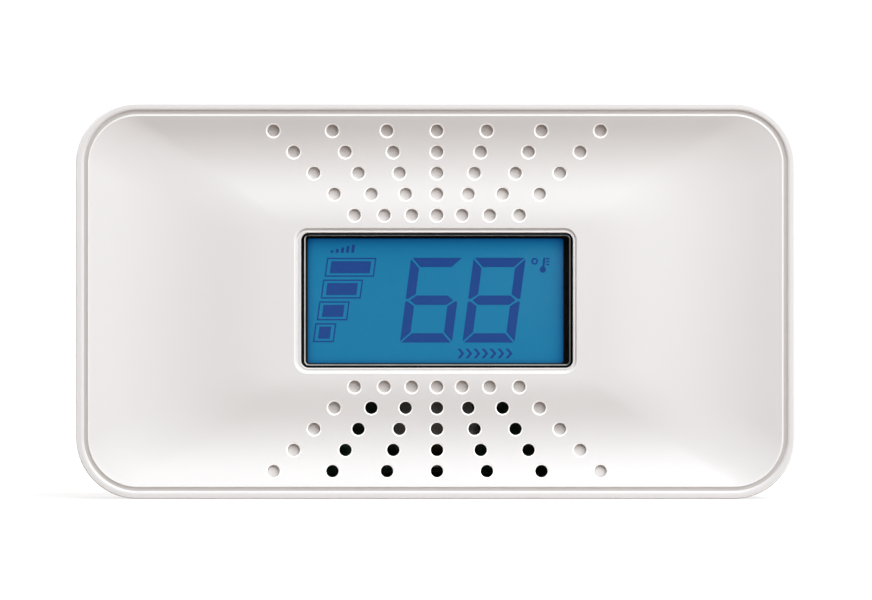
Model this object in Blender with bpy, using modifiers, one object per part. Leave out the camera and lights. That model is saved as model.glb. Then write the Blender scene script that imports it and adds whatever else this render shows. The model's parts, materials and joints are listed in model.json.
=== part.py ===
"""Carbon monoxide detector: a free-standing alarm with a dished face, a lit display and two controls.

Metres, +Z up. The face looks along -Y. The origin is the middle of the footprint, on the ground.
"Depth" is a distance behind the foremost plane of the case.
"""

import math

import bmesh
import bpy
from mathutils import Matrix, Vector

MM = 0.001

# Case
WIDTH = 152 * MM
HEIGHT = 83.7 * MM
CASE_DEPTH = 38 * MM
CORNER_RADIUS = 13 * MM
WALL = 2.2 * MM
DRAFT = 0.03  # the top and both sides lean inwards by this much for each unit of depth
FRONT_Y = -CASE_DEPTH / 2
MID_Z = HEIGHT / 2
SPLIT_DEPTH = 27 * MM  # where the front cover ends
SEAM = 0.3 * MM
GAP = 0.3 * MM  # between a part and one that it rests on
LAYER_GAP = 0.1 * MM  # between flat sheets of a stack
CORNER_STEPS = 6

# Face: outlines as (half width, half height, corner radius), from the rim inwards
RIM_INSET = 2.8 * MM
RIM = (WIDTH / 2 - RIM_INSET, HEIGHT / 2 - RIM_INSET, 10.5 * MM)
TROUGH = (54.5 * MM, 27.5 * MM, 8.5 * MM)
PLATEAU = (35 * MM, 16.2 * MM, 4 * MM)
FRAME = (30 * MM, 15.4 * MM, 2.55 * MM)
CENTRE_X = 0.3 * MM  # middle of the window and of the vents, across
CENTRE_Z = MID_Z + 0.1 * MM  # middle of the window, up
RIM_DEPTH = 0.35 * MM
DISH_DROP = 2.6 * MM  # rim to trough
PLATEAU_RISE = 1.05 * MM  # trough to the flat round the display
FRAME_WIDTH = 1.3 * MM
FACE_STEPS = 6

# Vents: a fan of rays from the middle of the window, above and below it
VENT_RAYS_DEG = (-43.85, -31.55, -16.35, 0, 16.35, 31.55, 43.85)
VENT_FIRST_ROW = 18.15 * MM
VENT_PITCH = 4.465 * MM
VENT_ROWS = 5
VENT_RADIUS = 1.3 * MM
VENT_OPEN_WITHIN_DEG = 40  # rays nearer upright than this are open below the display
DIMPLE_DEPTH = 1.0 * MM

# Display stack, behind the window; each depth is of the front of that sheet
LENS_SIZE = (56.3 * MM, 27.6 * MM)
LENS_FLANGE_SIZE = (61 * MM, 31.4 * MM)
LENS_DEPTH = 2.6 * MM
LENS_STEP_DEPTH = 4.4 * MM
LENS_BACK_DEPTH = 5.4 * MM
DISPLAY_VIEW = (54.2 * MM, 26.4 * MM)
HOLDER_SIZE = (66 * MM, 33 * MM)
HOLDER_ROOM = (62 * MM, 30.6 * MM)
HOLDER_DEPTH = 5.7 * MM
HOLDER_LIP = 0.7 * MM
POLARISER = 0.2 * MM
GLASS = 1.1 * MM
GUIDE = 1.9 * MM

# Circuit board
BOARD_SIZE = (120 * MM, 70.4 * MM)
BOARD_MID_Z = 40.2 * MM
BOARD_FRONT_Y = -6.5 * MM
BOARD_THICKNESS = 1.6 * MM
BOARD_BACK_Y = BOARD_FRONT_Y + BOARD_THICKNESS
ON_BACK_Y = BOARD_BACK_Y + GAP  # where parts sit on the back of the board

# Fasteners
CASE_SCREW_XZ = ((-66 * MM, 9.5 * MM), (66 * MM, 9.5 * MM), (-65 * MM, 73.2 * MM), (65 * MM, 73.2 * MM))
BOARD_SCREW_XZ = ((-54 * MM, 11 * MM), (54 * MM, 11 * MM), (-54 * MM, 69.4 * MM), (54 * MM, 69.4 * MM))
CASE_BOSS_RADIUS = 3.2 * MM
CASE_BOSS_END_DEPTH = 24 * MM
COLUMN_RADIUS = 4.2 * MM
COLUMN_START_DEPTH = 24.3 * MM
SCREW_SEAT_DEPTH = 27.5 * MM
BOARD_BOSS_RADIUS = 3 * MM

# Horn, behind the open vents
HORN_Z = 15.3 * MM
HORN_RADIUS = 9.7 * MM
HORN_ROOM_RADIUS = 8.8 * MM

# Test button, in the top of the case
BUTTON_Y = -2.5 * MM
BUTTON_SIZE = (43.4 * MM, 11.4 * MM)
BUTTON_CLEARANCE = 0.3 * MM
BUTTON_TOP_Z = HEIGHT - 0.3 * MM
BUTTON_FLANGE = (1.3 * MM, 1.2 * MM)  # how far it stands out, and its thickness
BUTTON_FLANGE_TOP_Z = HEIGHT - 3.2 * MM
BUTTON_TRAVEL = 1.0 * MM
TACT_BODY_TOP_Z = 75.5 * MM
PLUNGER_TOP_Z = 77.3 * MM

# Power slider, in the back of the case
SLIDER_X = 40 * MM
SLIDER_Z = 22 * MM
SLIDER_TRAVEL = 4 * MM

# Battery and gas sensor, on the back of the board
CELL_RADIUS = 8.5 * MM
CELL_LENGTH = 43.5 * MM
CELL_X = -28 * MM
CELL_Y = 5.2 * MM
CELL_Z = 46.5 * MM
SENSOR_X = 40 * MM
SENSOR_Z = 54 * MM
SENSOR_RADIUS = 10 * MM

# Wall hanging and back panel
KEYHOLE_X = 38.1 * MM
KEYHOLE_Z = 66 * MM
LABEL_SIZE = (52 * MM, 30 * MM)
LABEL_Z = 38 * MM
LABEL_POCKET = 0.6 * MM


def depth_y(depth):
    return FRONT_Y + depth


def clear_scene():
    for item in list(bpy.data.objects):
        bpy.data.objects.remove(item, do_unlink=True)


def make_collection(name):
    made = bpy.data.collections.new(name)
    bpy.context.scene.collection.children.link(made)
    return made


def make_material(name, colour, roughness, metallic=0.0, alpha=1.0):
    material = bpy.data.materials.new(name)
    material.use_nodes = True
    shader = material.node_tree.nodes["Principled BSDF"]
    shader.inputs["Base Color"].default_value = (*colour, 1.0)
    shader.inputs["Roughness"].default_value = roughness
    shader.inputs["Metallic"].default_value = metallic
    shader.inputs["Alpha"].default_value = alpha
    material.diffuse_color = (*colour, alpha)
    return material


clear_scene()
PARTS = make_collection("carbon_monoxide_detector")
CUTTERS = make_collection("cutters")

WHITE = make_material("white_abs", (0.82, 0.81, 0.80), 0.42)
BLACK = make_material("black_abs", (0.02, 0.02, 0.022), 0.45)
CLEAR = make_material("clear_acrylic", (0.9, 0.95, 0.97), 0.05, alpha=0.25)
LCD_GLASS = make_material("lcd_glass", (0.03, 0.2, 0.38), 0.1)
POLARISER_FILM = make_material("polariser_film", (0.02, 0.12, 0.28), 0.2)
GUIDE_ACRYLIC = make_material("light_guide", (0.75, 0.85, 0.95), 0.15)
REFLECTOR = make_material("reflector", (0.9, 0.9, 0.9), 0.3)
LED_PLASTIC = make_material("led_plastic", (0.85, 0.85, 0.7), 0.3)
RUBBER = make_material("conductive_rubber", (0.06, 0.06, 0.07), 0.8)
BOARD_GREEN = make_material("solder_mask", (0.02, 0.16, 0.06), 0.4)
FOAM = make_material("foam", (0.05, 0.05, 0.05), 0.95)
BRASS = make_material("brass", (0.75, 0.55, 0.25), 0.3, 1.0)
STEEL = make_material("zinc_steel", (0.62, 0.63, 0.64), 0.32, 1.0)
NICKEL = make_material("nickel", (0.66, 0.65, 0.62), 0.3, 1.0)
SENSOR_METAL = make_material("sensor_metal", (0.7, 0.7, 0.72), 0.25, 1.0)
FILTER = make_material("charcoal_filter", (0.03, 0.03, 0.03), 0.95)
CELL_SLEEVE = make_material("cell_sleeve", (0.05, 0.12, 0.32), 0.35)
GREY_ABS = make_material("grey_abs", (0.3, 0.3, 0.31), 0.5)
CHIP = make_material("chip_epoxy", (0.03, 0.03, 0.035), 0.5)
FERRITE = make_material("ferrite", (0.1, 0.1, 0.11), 0.6)
CAN_ALUMINIUM = make_material("capacitor_can", (0.15, 0.15, 0.2), 0.35)
RED_WIRE = make_material("red_insulation", (0.6, 0.02, 0.02), 0.4)
BLACK_WIRE = make_material("black_insulation", (0.02, 0.02, 0.02), 0.4)
LABEL_FILM = make_material("label_film", (0.7, 0.7, 0.68), 0.5)
BEAD = make_material("thermistor_bead", (0.1, 0.05, 0.03), 0.4)


def finish_object(name, bm, material, location, collection):
    """Makes the object from a closed bmesh drawn about its own origin, with its faces pointing out."""
    bmesh.ops.recalc_face_normals(bm, faces=bm.faces)
    mesh = bpy.data.meshes.new(name)
    bm.to_mesh(mesh)
    bm.free()
    if material is not None:
        mesh.materials.append(material)
    mesh.shade_smooth()
    mesh.set_sharp_from_angle(angle=math.radians(35))
    made = bpy.data.objects.new(name, mesh)
    made.location = location
    collection.objects.link(made)
    if collection is CUTTERS:
        made.hide_render = True
        made.display_type = "WIRE"
    return made


def add_part(name, bm, material, location=(0, 0, 0)):
    return finish_object(name, bm, material, location, PARTS)


def add_cutter(name, bm, location=(0, 0, 0)):
    return finish_object(name, bm, None, location, CUTTERS)


def apply_boolean(target, tool, operation, overlapping):
    """A tool whose own solids overlap one another needs the modifier's slower self-intersection setting."""
    modifier = target.modifiers.new(tool.name, "BOOLEAN")
    modifier.operation = operation
    modifier.object = tool
    modifier.use_self = overlapping


def cut(target, tool, overlapping=False):
    apply_boolean(target, tool, "DIFFERENCE", overlapping)


def join(target, tool, overlapping=False):
    apply_boolean(target, tool, "UNION", overlapping)


# ---------------------------------------------------------------- simple solids


def add_block(bm, low, high, radius=0.0, along="Y", steps=4):
    """A box between two corners, with the four edges that run along one axis rounded."""
    low, high = Vector(low), Vector(high)
    size = high - low
    place = Matrix.Translation((low + high) / 2) @ Matrix.Diagonal((*size, 1))
    made = bmesh.ops.create_cube(bm, size=1.0, matrix=place)
    if radius:
        axis = "XYZ".index(along)
        edges = {edge for vert in made["verts"] for edge in vert.link_edges}
        lengthwise = [e for e in edges if abs((e.verts[0].co - e.verts[1].co)[axis]) > size[axis] / 2]
        bmesh.ops.bevel(bm, geom=lengthwise, offset=radius, segments=steps, affect="EDGES", profile=0.5)
    return bm


def add_rod(bm, start, end, radius, segments=20, end_radius=None):
    """A capped cylinder, or a cone if the end radius differs, between two points."""
    start, end = Vector(start), Vector(end)
    run = end - start
    turn = run.to_track_quat("Z", "Y").to_matrix().to_4x4()
    bmesh.ops.create_cone(
        bm,
        cap_ends=True,
        segments=segments,
        radius1=radius,
        radius2=radius if end_radius is None else end_radius,
        depth=run.length,
        matrix=Matrix.Translation((start + end) / 2) @ turn,
    )
    return bm


def block(name, low, high, material, radius=0.0, along="Y", steps=4):
    """A part that is one box, with its origin at its middle."""
    middle = (Vector(low) + Vector(high)) / 2
    bm = add_block(bmesh.new(), Vector(low) - middle, Vector(high) - middle, radius, along, steps)
    return add_part(name, bm, material, middle)


def rod(name, start, end, radius, material, segments=20):
    """A part that is one cylinder, with its origin at its middle."""
    middle = (Vector(start) + Vector(end)) / 2
    bm = add_rod(bmesh.new(), Vector(start) - middle, Vector(end) - middle, radius, segments)
    return add_part(name, bm, material, middle)


def cutter_block(name, low, high, radius=0.0, along="Y", steps=4):
    return add_cutter(name, add_block(bmesh.new(), low, high, radius, along, steps))


def cutter_rod(name, start, end, radius, segments=20):
    return add_cutter(name, add_rod(bmesh.new(), start, end, radius, segments))


def sheet_corners(size, front_depth, thickness, mid_x=0.0, mid_z=MID_Z):
    """Low and high corner of an upright sheet, given its size and the depth of its front face."""
    low = (mid_x - size[0] / 2, depth_y(front_depth), mid_z - size[1] / 2)
    high = (mid_x + size[0] / 2, depth_y(front_depth + thickness), mid_z + size[1] / 2)
    return low, high


# ---------------------------------------------------------------- lofted covers


def ring(half_width, half_height, radius, depth, mid_z=MID_Z, mid_x=0):
    """Points round a rounded rectangle that stands upright at a depth."""
    points = []
    for corner, (side_x, side_z) in enumerate(((1, 1), (-1, 1), (-1, -1), (1, -1))):
        centre_x = mid_x + side_x * (half_width - radius)
        centre_z = mid_z + side_z * (half_height - radius)
        for step in range(CORNER_STEPS + 1):
            angle = math.pi / 2 * (corner + step / CORNER_STEPS)
            x = centre_x + radius * math.cos(angle)
            z = centre_z + radius * math.sin(angle)
            points.append(Vector((x, depth_y(depth), z)))
    return points


def wall_ring(inset, depth):
    """A ring inside the case's outer wall. The base stays level while the top and the sides lean in."""
    lean = DRAFT * depth
    mid_z = (HEIGHT - lean) / 2
    return ring(WIDTH / 2 - inset - lean, mid_z - inset, CORNER_RADIUS - inset, depth, mid_z)


def loft(rings, closed):
    """Skins a row of rings. A closed loft joins its last ring to its first. An open one is capped."""
    bm = bmesh.new()
    rows = [[bm.verts.new(point) for point in points] for points in rings]
    count = len(rows[0])
    pairs = list(zip(rows, rows[1:]))
    if closed:
        pairs.append((rows[-1], rows[0]))
    else:
        bm.faces.new(rows[0])
        bm.faces.new(rows[-1])
    for near, far in pairs:
        for i in range(count):
            j = (i + 1) % count
            bm.faces.new((near[i], near[j], far[j], far[i]))
    return bm


def blend(first, second, share):
    return tuple(a + (b - a) * share for a, b in zip(first, second))


def face_outline(place):
    """Outline at a place on the face: 0 is the rim, 1 the trough, 2 the edge of the middle flat."""
    return blend(RIM, TROUGH, place) if place < 1 else blend(TROUGH, PLATEAU, place - 1)


def face_depth(place):
    """The face falls steeply from the rim, levels in the trough and rises gently to the flat."""
    if place < 1:
        return RIM_DEPTH + DISH_DROP * math.sin(math.pi / 2 * place)
    return RIM_DEPTH + DISH_DROP - PLATEAU_RISE * (1 - math.cos(math.pi * (place - 1))) / 2


def outline_distance(x, z, outline):
    """Distance from a point to a rounded rectangle, below 0 inside it."""
    half_width, half_height, radius = outline
    over_x = abs(x) - half_width + radius
    over_z = abs(z - MID_Z) - half_height + radius
    return math.hypot(max(over_x, 0), max(over_z, 0)) + min(max(over_x, over_z), 0) - radius


def depth_at(x, z):
    """Depth of the face at a point, found by halving the range of outlines that can pass through it."""
    low, high = 0.0, 2.0
    for _ in range(30):
        middle = (low + high) / 2
        if outline_distance(x, z, face_outline(middle)) < 0:
            low = middle
        else:
            high = middle
    return face_depth(low)


FLAT_DEPTH = face_depth(2)


def front_cover_rings():
    """Once round the cover's section: outer wall, lip, groove, dish, window frame, then the inside."""
    rings = [
        wall_ring(inset * MM, depth * MM)
        for inset, depth in (
            (0, SPLIT_DEPTH / MM),
            (0, 0.6),
            (0.12, 0.22),
            (0.4, 0.04),
            (0.85, 0),
            (1.25, 0.1),
            (1.6, 0.5),
            (1.95, 0.9),
            (2.3, 0.95),
            (2.6, 0.6),
        )
    ]
    places = [step / FACE_STEPS for step in range(2 * FACE_STEPS + 1)]
    rings += [ring(*face_outline(place), face_depth(place)) for place in places]
    frame_profile = ((0, 0), (0.12, 0.1), (0.3, 0.45), (0.75, 0.45), (0.9, 0.22), (1.12, 0.2), (1.3, 0.4))
    rings += [frame_ring(inset * MM, FLAT_DEPTH + sink * MM) for inset, sink in frame_profile]
    rings.append(frame_ring(FRAME_WIDTH, FLAT_DEPTH + WALL))
    rings += [ring(*face_outline(place), face_depth(place) + WALL) for place in reversed(places[1:])]
    rings += [
        wall_ring(3.4 * MM, 3.0 * MM),
        wall_ring(WALL, 3.6 * MM),
        wall_ring(WALL, SPLIT_DEPTH - WALL),
        wall_ring(WALL / 2, SPLIT_DEPTH - WALL),
        wall_ring(WALL / 2, SPLIT_DEPTH),
    ]
    return rings


def frame_ring(inset, depth):
    half_width, half_height, radius = FRAME
    return ring(half_width - inset, half_height - inset, radius - inset * 0.8, depth, CENTRE_Z, CENTRE_X)


def vent_places():
    """(x, z, open) of each hole of both fans."""
    for side in (1, -1):
        for row in range(VENT_ROWS):
            rise = VENT_FIRST_ROW + row * VENT_PITCH
            for angle in VENT_RAYS_DEG:
                is_open = side < 0 and row > 0 and abs(angle) < VENT_OPEN_WITHIN_DEG
                yield CENTRE_X + rise * math.tan(math.radians(angle)), MID_Z + side * rise, is_open


def vent_cutter():
    bm = bmesh.new()
    for x, z, is_open in vent_places():
        surface = depth_at(x, z)
        end = surface + (2 * WALL if is_open else DIMPLE_DEPTH)
        start = (x, depth_y(-1 * MM), z)
        add_rod(bm, start, (x, depth_y(end), z), VENT_RADIUS, 12 if is_open else 8)
    return add_cutter("vent_cutter", bm)


def make_front_cover():
    cover = add_part("front_cover", loft(front_cover_rings(), closed=True), WHITE)
    bosses = bmesh.new()
    pilots = bmesh.new()
    for x, z in CASE_SCREW_XZ:
        start = depth_at(x, z) + WALL / 2
        add_rod(bosses, (x, depth_y(start), z), (x, depth_y(CASE_BOSS_END_DEPTH), z), CASE_BOSS_RADIUS, 16)
        add_rod(pilots, (x, depth_y(12 * MM), z), (x, depth_y(CASE_BOSS_END_DEPTH + WALL), z), 1.6 * MM, 10)
    for x, z in BOARD_SCREW_XZ:
        start = depth_at(x, z) + WALL / 2
        add_rod(bosses, (x, depth_y(start), z), (x, BOARD_FRONT_Y - GAP, z), BOARD_BOSS_RADIUS, 12)
        add_rod(pilots, (x, BOARD_FRONT_Y - 6 * MM, z), (x, BOARD_FRONT_Y + WALL, z), 1.3 * MM, 10)
    join(cover, add_cutter("front_bosses", bosses))
    cut(cover, add_cutter("front_pilots", pilots))
    cut(cover, vent_cutter())
    slot = Vector((BUTTON_SIZE[0] / 2 + BUTTON_CLEARANCE, BUTTON_SIZE[1] / 2 + BUTTON_CLEARANCE, 0))
    low = Vector((0, BUTTON_Y, HEIGHT - 2 * WALL)) - slot
    high = Vector((0, BUTTON_Y, HEIGHT + WALL)) + slot
    cut(cover, cutter_block("button_opening", low, high, slot.y * 0.98, "Z", 6))


def make_rear_cover():
    """A tray with a tongue that fits inside the front cover."""
    tongue = WALL / 2 + 0.15 * MM
    profile = (
        (tongue, SPLIT_DEPTH - WALL + SEAM),
        (tongue, SPLIT_DEPTH + SEAM),
        (0, SPLIT_DEPTH + SEAM),
        (0, CASE_DEPTH - 3.5 * MM),
        (0.5 * MM, CASE_DEPTH - 1.7 * MM),
        (1.7 * MM, CASE_DEPTH - 0.5 * MM),
        (3.5 * MM, CASE_DEPTH),
    )
    inside = (
        (4.2 * MM, CASE_DEPTH - WALL),
        (WALL + 0.5 * MM, CASE_DEPTH - WALL - 1 * MM),
        (WALL + 0.1 * MM, CASE_DEPTH - WALL - 2.5 * MM),
        (WALL + 0.1 * MM, SPLIT_DEPTH - WALL + SEAM),
    )
    outer = [wall_ring(*point) for point in profile]
    inner = [wall_ring(*point) for point in inside]
    # The tray is one skin: it starts at the rear face, folds over the tongue and ends inside the back.
    cover = add_part("rear_cover", loft(outer[::-1] + inner[::-1], closed=False), WHITE)

    inside_back = CASE_DEPTH - WALL
    added = bmesh.new()
    for x, z in CASE_SCREW_XZ:
        start = (x, depth_y(COLUMN_START_DEPTH), z)
        add_rod(added, start, (x, depth_y(CASE_DEPTH - WALL / 2), z), COLUMN_RADIUS, 16)
    for side in (-1, 1):
        low = (side * KEYHOLE_X - 7 * MM, depth_y(inside_back - 4.5 * MM), KEYHOLE_Z - 8 * MM)
        high = (side * KEYHOLE_X + 7 * MM, depth_y(CASE_DEPTH - WALL / 2), KEYHOLE_Z + 8 * MM)
        add_block(added, low, high)
    join(cover, add_cutter("rear_additions", added))

    screw_holes = bmesh.new()
    for x, z in CASE_SCREW_XZ:
        seat = (x, depth_y(SCREW_SEAT_DEPTH), z)
        add_rod(screw_holes, seat, (x, depth_y(CASE_DEPTH + WALL), z), 3.0 * MM, 16)
        column_start = (x, depth_y(COLUMN_START_DEPTH - WALL), z)
        add_rod(screw_holes, column_start, (x, depth_y(29 * MM), z), 1.7 * MM, 12)
    cut(cover, add_cutter("rear_screw_holes", screw_holes), overlapping=True)
    cut(cover, keyhole_cutter(inside_back), overlapping=True)
    cut(cover, rear_openings(inside_back), overlapping=True)


def keyhole_cutter(inside_back):
    """Wall screw keyholes: a round hole for the head, a slot above it, and a pocket behind both."""
    bm = bmesh.new()
    for side in (-1, 1):
        x = side * KEYHOLE_X
        back = depth_y(CASE_DEPTH + WALL)
        front = depth_y(inside_back - 1 * MM)
        add_rod(bm, (x, front, KEYHOLE_Z - 3 * MM), (x, back, KEYHOLE_Z - 3 * MM), 4 * MM, 16)
        low = (x - 2 * MM, front, KEYHOLE_Z - 3 * MM)
        high = (x + 2 * MM, back, KEYHOLE_Z + 5 * MM)
        add_block(bm, low, high)
        low = (x - 5 * MM, depth_y(inside_back - 3.3 * MM), KEYHOLE_Z - 7 * MM)
        high = (x + 5 * MM, depth_y(inside_back), KEYHOLE_Z + 6.5 * MM)
        add_block(bm, low, high)
    return add_cutter("keyhole_cutter", bm)


def rear_openings(inside_back):
    """Air slots near both ends, the power slider's well and slot, and the label's shallow pocket."""
    bm = bmesh.new()
    through = (depth_y(inside_back - 1 * MM), depth_y(CASE_DEPTH + WALL))
    for side in (-1, 1):
        for row in range(5):
            z = 33 * MM + row * 4 * MM
            x = side * 55 * MM
            low = (x - 8 * MM, through[0], z - 0.8 * MM)
            high = (x + 8 * MM, through[1], z + 0.8 * MM)
            add_block(bm, low, high, 0.75 * MM)
    well = (9 * MM, 4.5 * MM)
    low = (SLIDER_X - well[0], depth_y(CASE_DEPTH - 1.2 * MM), SLIDER_Z - well[1])
    high = (SLIDER_X + well[0], through[1], SLIDER_Z + well[1])
    add_block(bm, low, high, 1.5 * MM)
    slot = (5.2 * MM, 1.8 * MM)
    low = (SLIDER_X - slot[0], through[0], SLIDER_Z - slot[1])
    high = (SLIDER_X + slot[0], depth_y(CASE_DEPTH), SLIDER_Z + slot[1])
    add_block(bm, low, high)
    low, high = sheet_corners(LABEL_SIZE, CASE_DEPTH - LABEL_POCKET, WALL, 0, LABEL_Z)
    add_block(bm, low, high, 2 * MM)
    return add_cutter("rear_openings", bm)


# ---------------------------------------------------------------- display


def make_display():
    lens_bm = bmesh.new()
    centre = (CENTRE_X, CENTRE_Z)
    low, high = sheet_corners(LENS_SIZE, LENS_DEPTH, LENS_BACK_DEPTH - LENS_DEPTH, *centre)
    add_block(lens_bm, low, high, 1.2 * MM)
    lens = add_part("display_lens", lens_bm, CLEAR)
    flange_thickness = LENS_BACK_DEPTH - LENS_STEP_DEPTH
    low, high = sheet_corners(LENS_FLANGE_SIZE, LENS_STEP_DEPTH, flange_thickness, *centre)
    join(lens, cutter_block("lens_flange", low, high, 1.2 * MM))

    board_depth = BOARD_FRONT_Y - FRONT_Y
    low, high = sheet_corners(HOLDER_SIZE, HOLDER_DEPTH, board_depth - GAP - HOLDER_DEPTH)
    holder = block("display_holder", low, high, BLACK, 1 * MM)
    low, high = sheet_corners(HOLDER_ROOM, HOLDER_DEPTH + HOLDER_LIP, board_depth)
    cut(holder, cutter_block("holder_room", low, high))
    low, high = sheet_corners(DISPLAY_VIEW, HOLDER_DEPTH - WALL, WALL + 2 * HOLDER_LIP)
    cut(holder, cutter_block("holder_view", low, high, 0.5 * MM))

    narrow = (60 * MM, 27.4 * MM)
    full = (60 * MM, 30.2 * MM)
    film = (58 * MM, 27.4 * MM)
    depth = HOLDER_DEPTH + HOLDER_LIP + LAYER_GAP
    stack = (
        ("front_polariser", film, POLARISER, POLARISER_FILM),
        ("lcd_front_glass", narrow, GLASS, LCD_GLASS),
        ("lcd_rear_glass", full, GLASS, LCD_GLASS),
        ("rear_polariser", film, POLARISER, POLARISER_FILM),
        ("light_guide", (56 * MM, 27.4 * MM), GUIDE, GUIDE_ACRYLIC),
        ("reflector_sheet", (56 * MM, 27.4 * MM), POLARISER, REFLECTOR),
    )
    for name, size, thickness, material in stack:
        block(name, *sheet_corners(size, depth, thickness), material)
        depth += thickness + LAYER_GAP
        if name == "lcd_rear_glass":
            strip_depth = depth
        if name == "rear_polariser":
            led_depth = depth

    strip_thickness = board_depth - GAP - strip_depth
    for name, side in (("contact_strip_upper", 1), ("contact_strip_lower", -1)):
        strip_z = MID_Z + side * 14.55 * MM
        block(name, *sheet_corners((52 * MM, 1.1 * MM), strip_depth, strip_thickness, 0, strip_z), RUBBER)
    low, high = sheet_corners((1.6 * MM, 4 * MM), led_depth, GUIDE, 29.3 * MM)
    block("backlight_led", low, high, LED_PLASTIC)


# ---------------------------------------------------------------- circuit board and what it carries


def make_circuit_board():
    half = (BOARD_SIZE[0] / 2, BOARD_SIZE[1] / 2)
    low = (-half[0], BOARD_FRONT_Y, BOARD_MID_Z - half[1])
    high = (half[0], BOARD_BACK_Y, BOARD_MID_Z + half[1])
    board = block("circuit_board", low, high, BOARD_GREEN, 2 * MM, steps=3)
    holes = bmesh.new()
    for x, z in BOARD_SCREW_XZ:
        add_rod(holes, (x, BOARD_FRONT_Y - WALL, z), (x, BOARD_BACK_Y + WALL, z), 1.5 * MM, 12)
    cut(board, add_cutter("board_holes", holes))


def make_horn():
    """Piezo horn: a cup with a sound port over a brass plate, sealed to the cover by a foam ring."""
    base_front = BOARD_FRONT_Y - GAP - 1 * MM
    rod("horn_base", (0, base_front, HORN_Z), (0, BOARD_FRONT_Y - GAP, HORN_Z), HORN_RADIUS, BLACK, 28)
    plate_back = base_front - LAYER_GAP
    plate_front = plate_back - 0.3 * MM
    rod("piezo_plate", (0, plate_front, HORN_Z), (0, plate_back, HORN_Z), HORN_ROOM_RADIUS - GAP, BRASS, 28)
    cup_front = -11.6 * MM
    cup_back = base_front - LAYER_GAP
    cup = rod("horn_cup", (0, cup_front, HORN_Z), (0, cup_back, HORN_Z), HORN_RADIUS, BLACK, 28)
    room = (0, cup_front + 1 * MM, HORN_Z), (0, base_front, HORN_Z)
    cut(cup, cutter_rod("horn_room", *room, HORN_ROOM_RADIUS, 28))
    port_z = HORN_Z - 5.1 * MM
    port = (0, cup_front - WALL, port_z), (0, cup_front + WALL, port_z)
    cut(cup, cutter_rod("horn_port", *port, 1.7 * MM, 12))
    gasket_front = -13.35 * MM
    gasket_back = cup_front - LAYER_GAP
    gasket = rod("horn_gasket", (0, gasket_front, HORN_Z), (0, gasket_back, HORN_Z), HORN_RADIUS, FOAM, 28)
    bore = (0, gasket_front - WALL, HORN_Z), (0, gasket_back + WALL, HORN_Z)
    cut(gasket, cutter_rod("gasket_bore", *bore, HORN_ROOM_RADIUS, 28))


def make_test_button():
    """A pill-shaped cap held by a flange under the top wall, with a rib that reaches down to the switch."""
    origin = Vector((0, BUTTON_Y, BUTTON_TOP_Z))
    half_x, half_y = BUTTON_SIZE[0] / 2, BUTTON_SIZE[1] / 2
    edge, thickness = BUTTON_FLANGE
    flange_top = BUTTON_FLANGE_TOP_Z - BUTTON_TOP_Z
    flange_bottom = flange_top - thickness
    low, high = (-half_x, -half_y, flange_bottom), (half_x, half_y, 0)
    cap = add_block(bmesh.new(), low, high, half_y * 0.98, "Z", 6)
    button = add_part("test_button", cap, WHITE, origin)
    extra = bmesh.new()
    low, high = (-half_x - edge, -half_y - edge, flange_bottom), (half_x + edge, half_y + edge, flange_top)
    add_block(extra, low, high)
    rib_end = PLUNGER_TOP_Z + GAP - BUTTON_TOP_Z
    add_block(extra, (-1.6 * MM, -1.6 * MM, rib_end), (1.6 * MM, 1.6 * MM, flange_bottom + 0.6 * MM))
    join(button, add_cutter("button_flange", extra, origin), overlapping=True)
    scoop_radius = 40 * MM
    scoop_middle = BUTTON_TOP_Z + scoop_radius - 0.35 * MM
    ends = (-9 * MM, BUTTON_Y, scoop_middle), (9 * MM, BUTTON_Y, scoop_middle)
    scoop = bmesh.new()
    add_rod(scoop, *ends, scoop_radius, 96)
    cut(button, add_cutter("button_scoop", scoop))


def make_tact_switch():
    """An upright push switch at the board's top edge. Its plunger slides in a blind bore."""
    low = (-3 * MM, ON_BACK_Y, TACT_BODY_TOP_Z - 6 * MM)
    high = (3 * MM, ON_BACK_Y + 4.2 * MM, TACT_BODY_TOP_Z)
    body = block("tact_switch_body", low, high, CHIP)
    bore_end = TACT_BODY_TOP_Z - 2.8 * MM
    bore = (0, BUTTON_Y, bore_end), (0, BUTTON_Y, TACT_BODY_TOP_Z + WALL)
    cut(body, cutter_rod("tact_bore", *bore, 1.7 * MM, 16))
    plunger_end = bore_end + BUTTON_TRAVEL + GAP
    ends = (0, BUTTON_Y, plunger_end), (0, BUTTON_Y, PLUNGER_TOP_Z)
    rod("tact_switch_plunger", *ends, 1.4 * MM, BLACK, 16)


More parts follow.
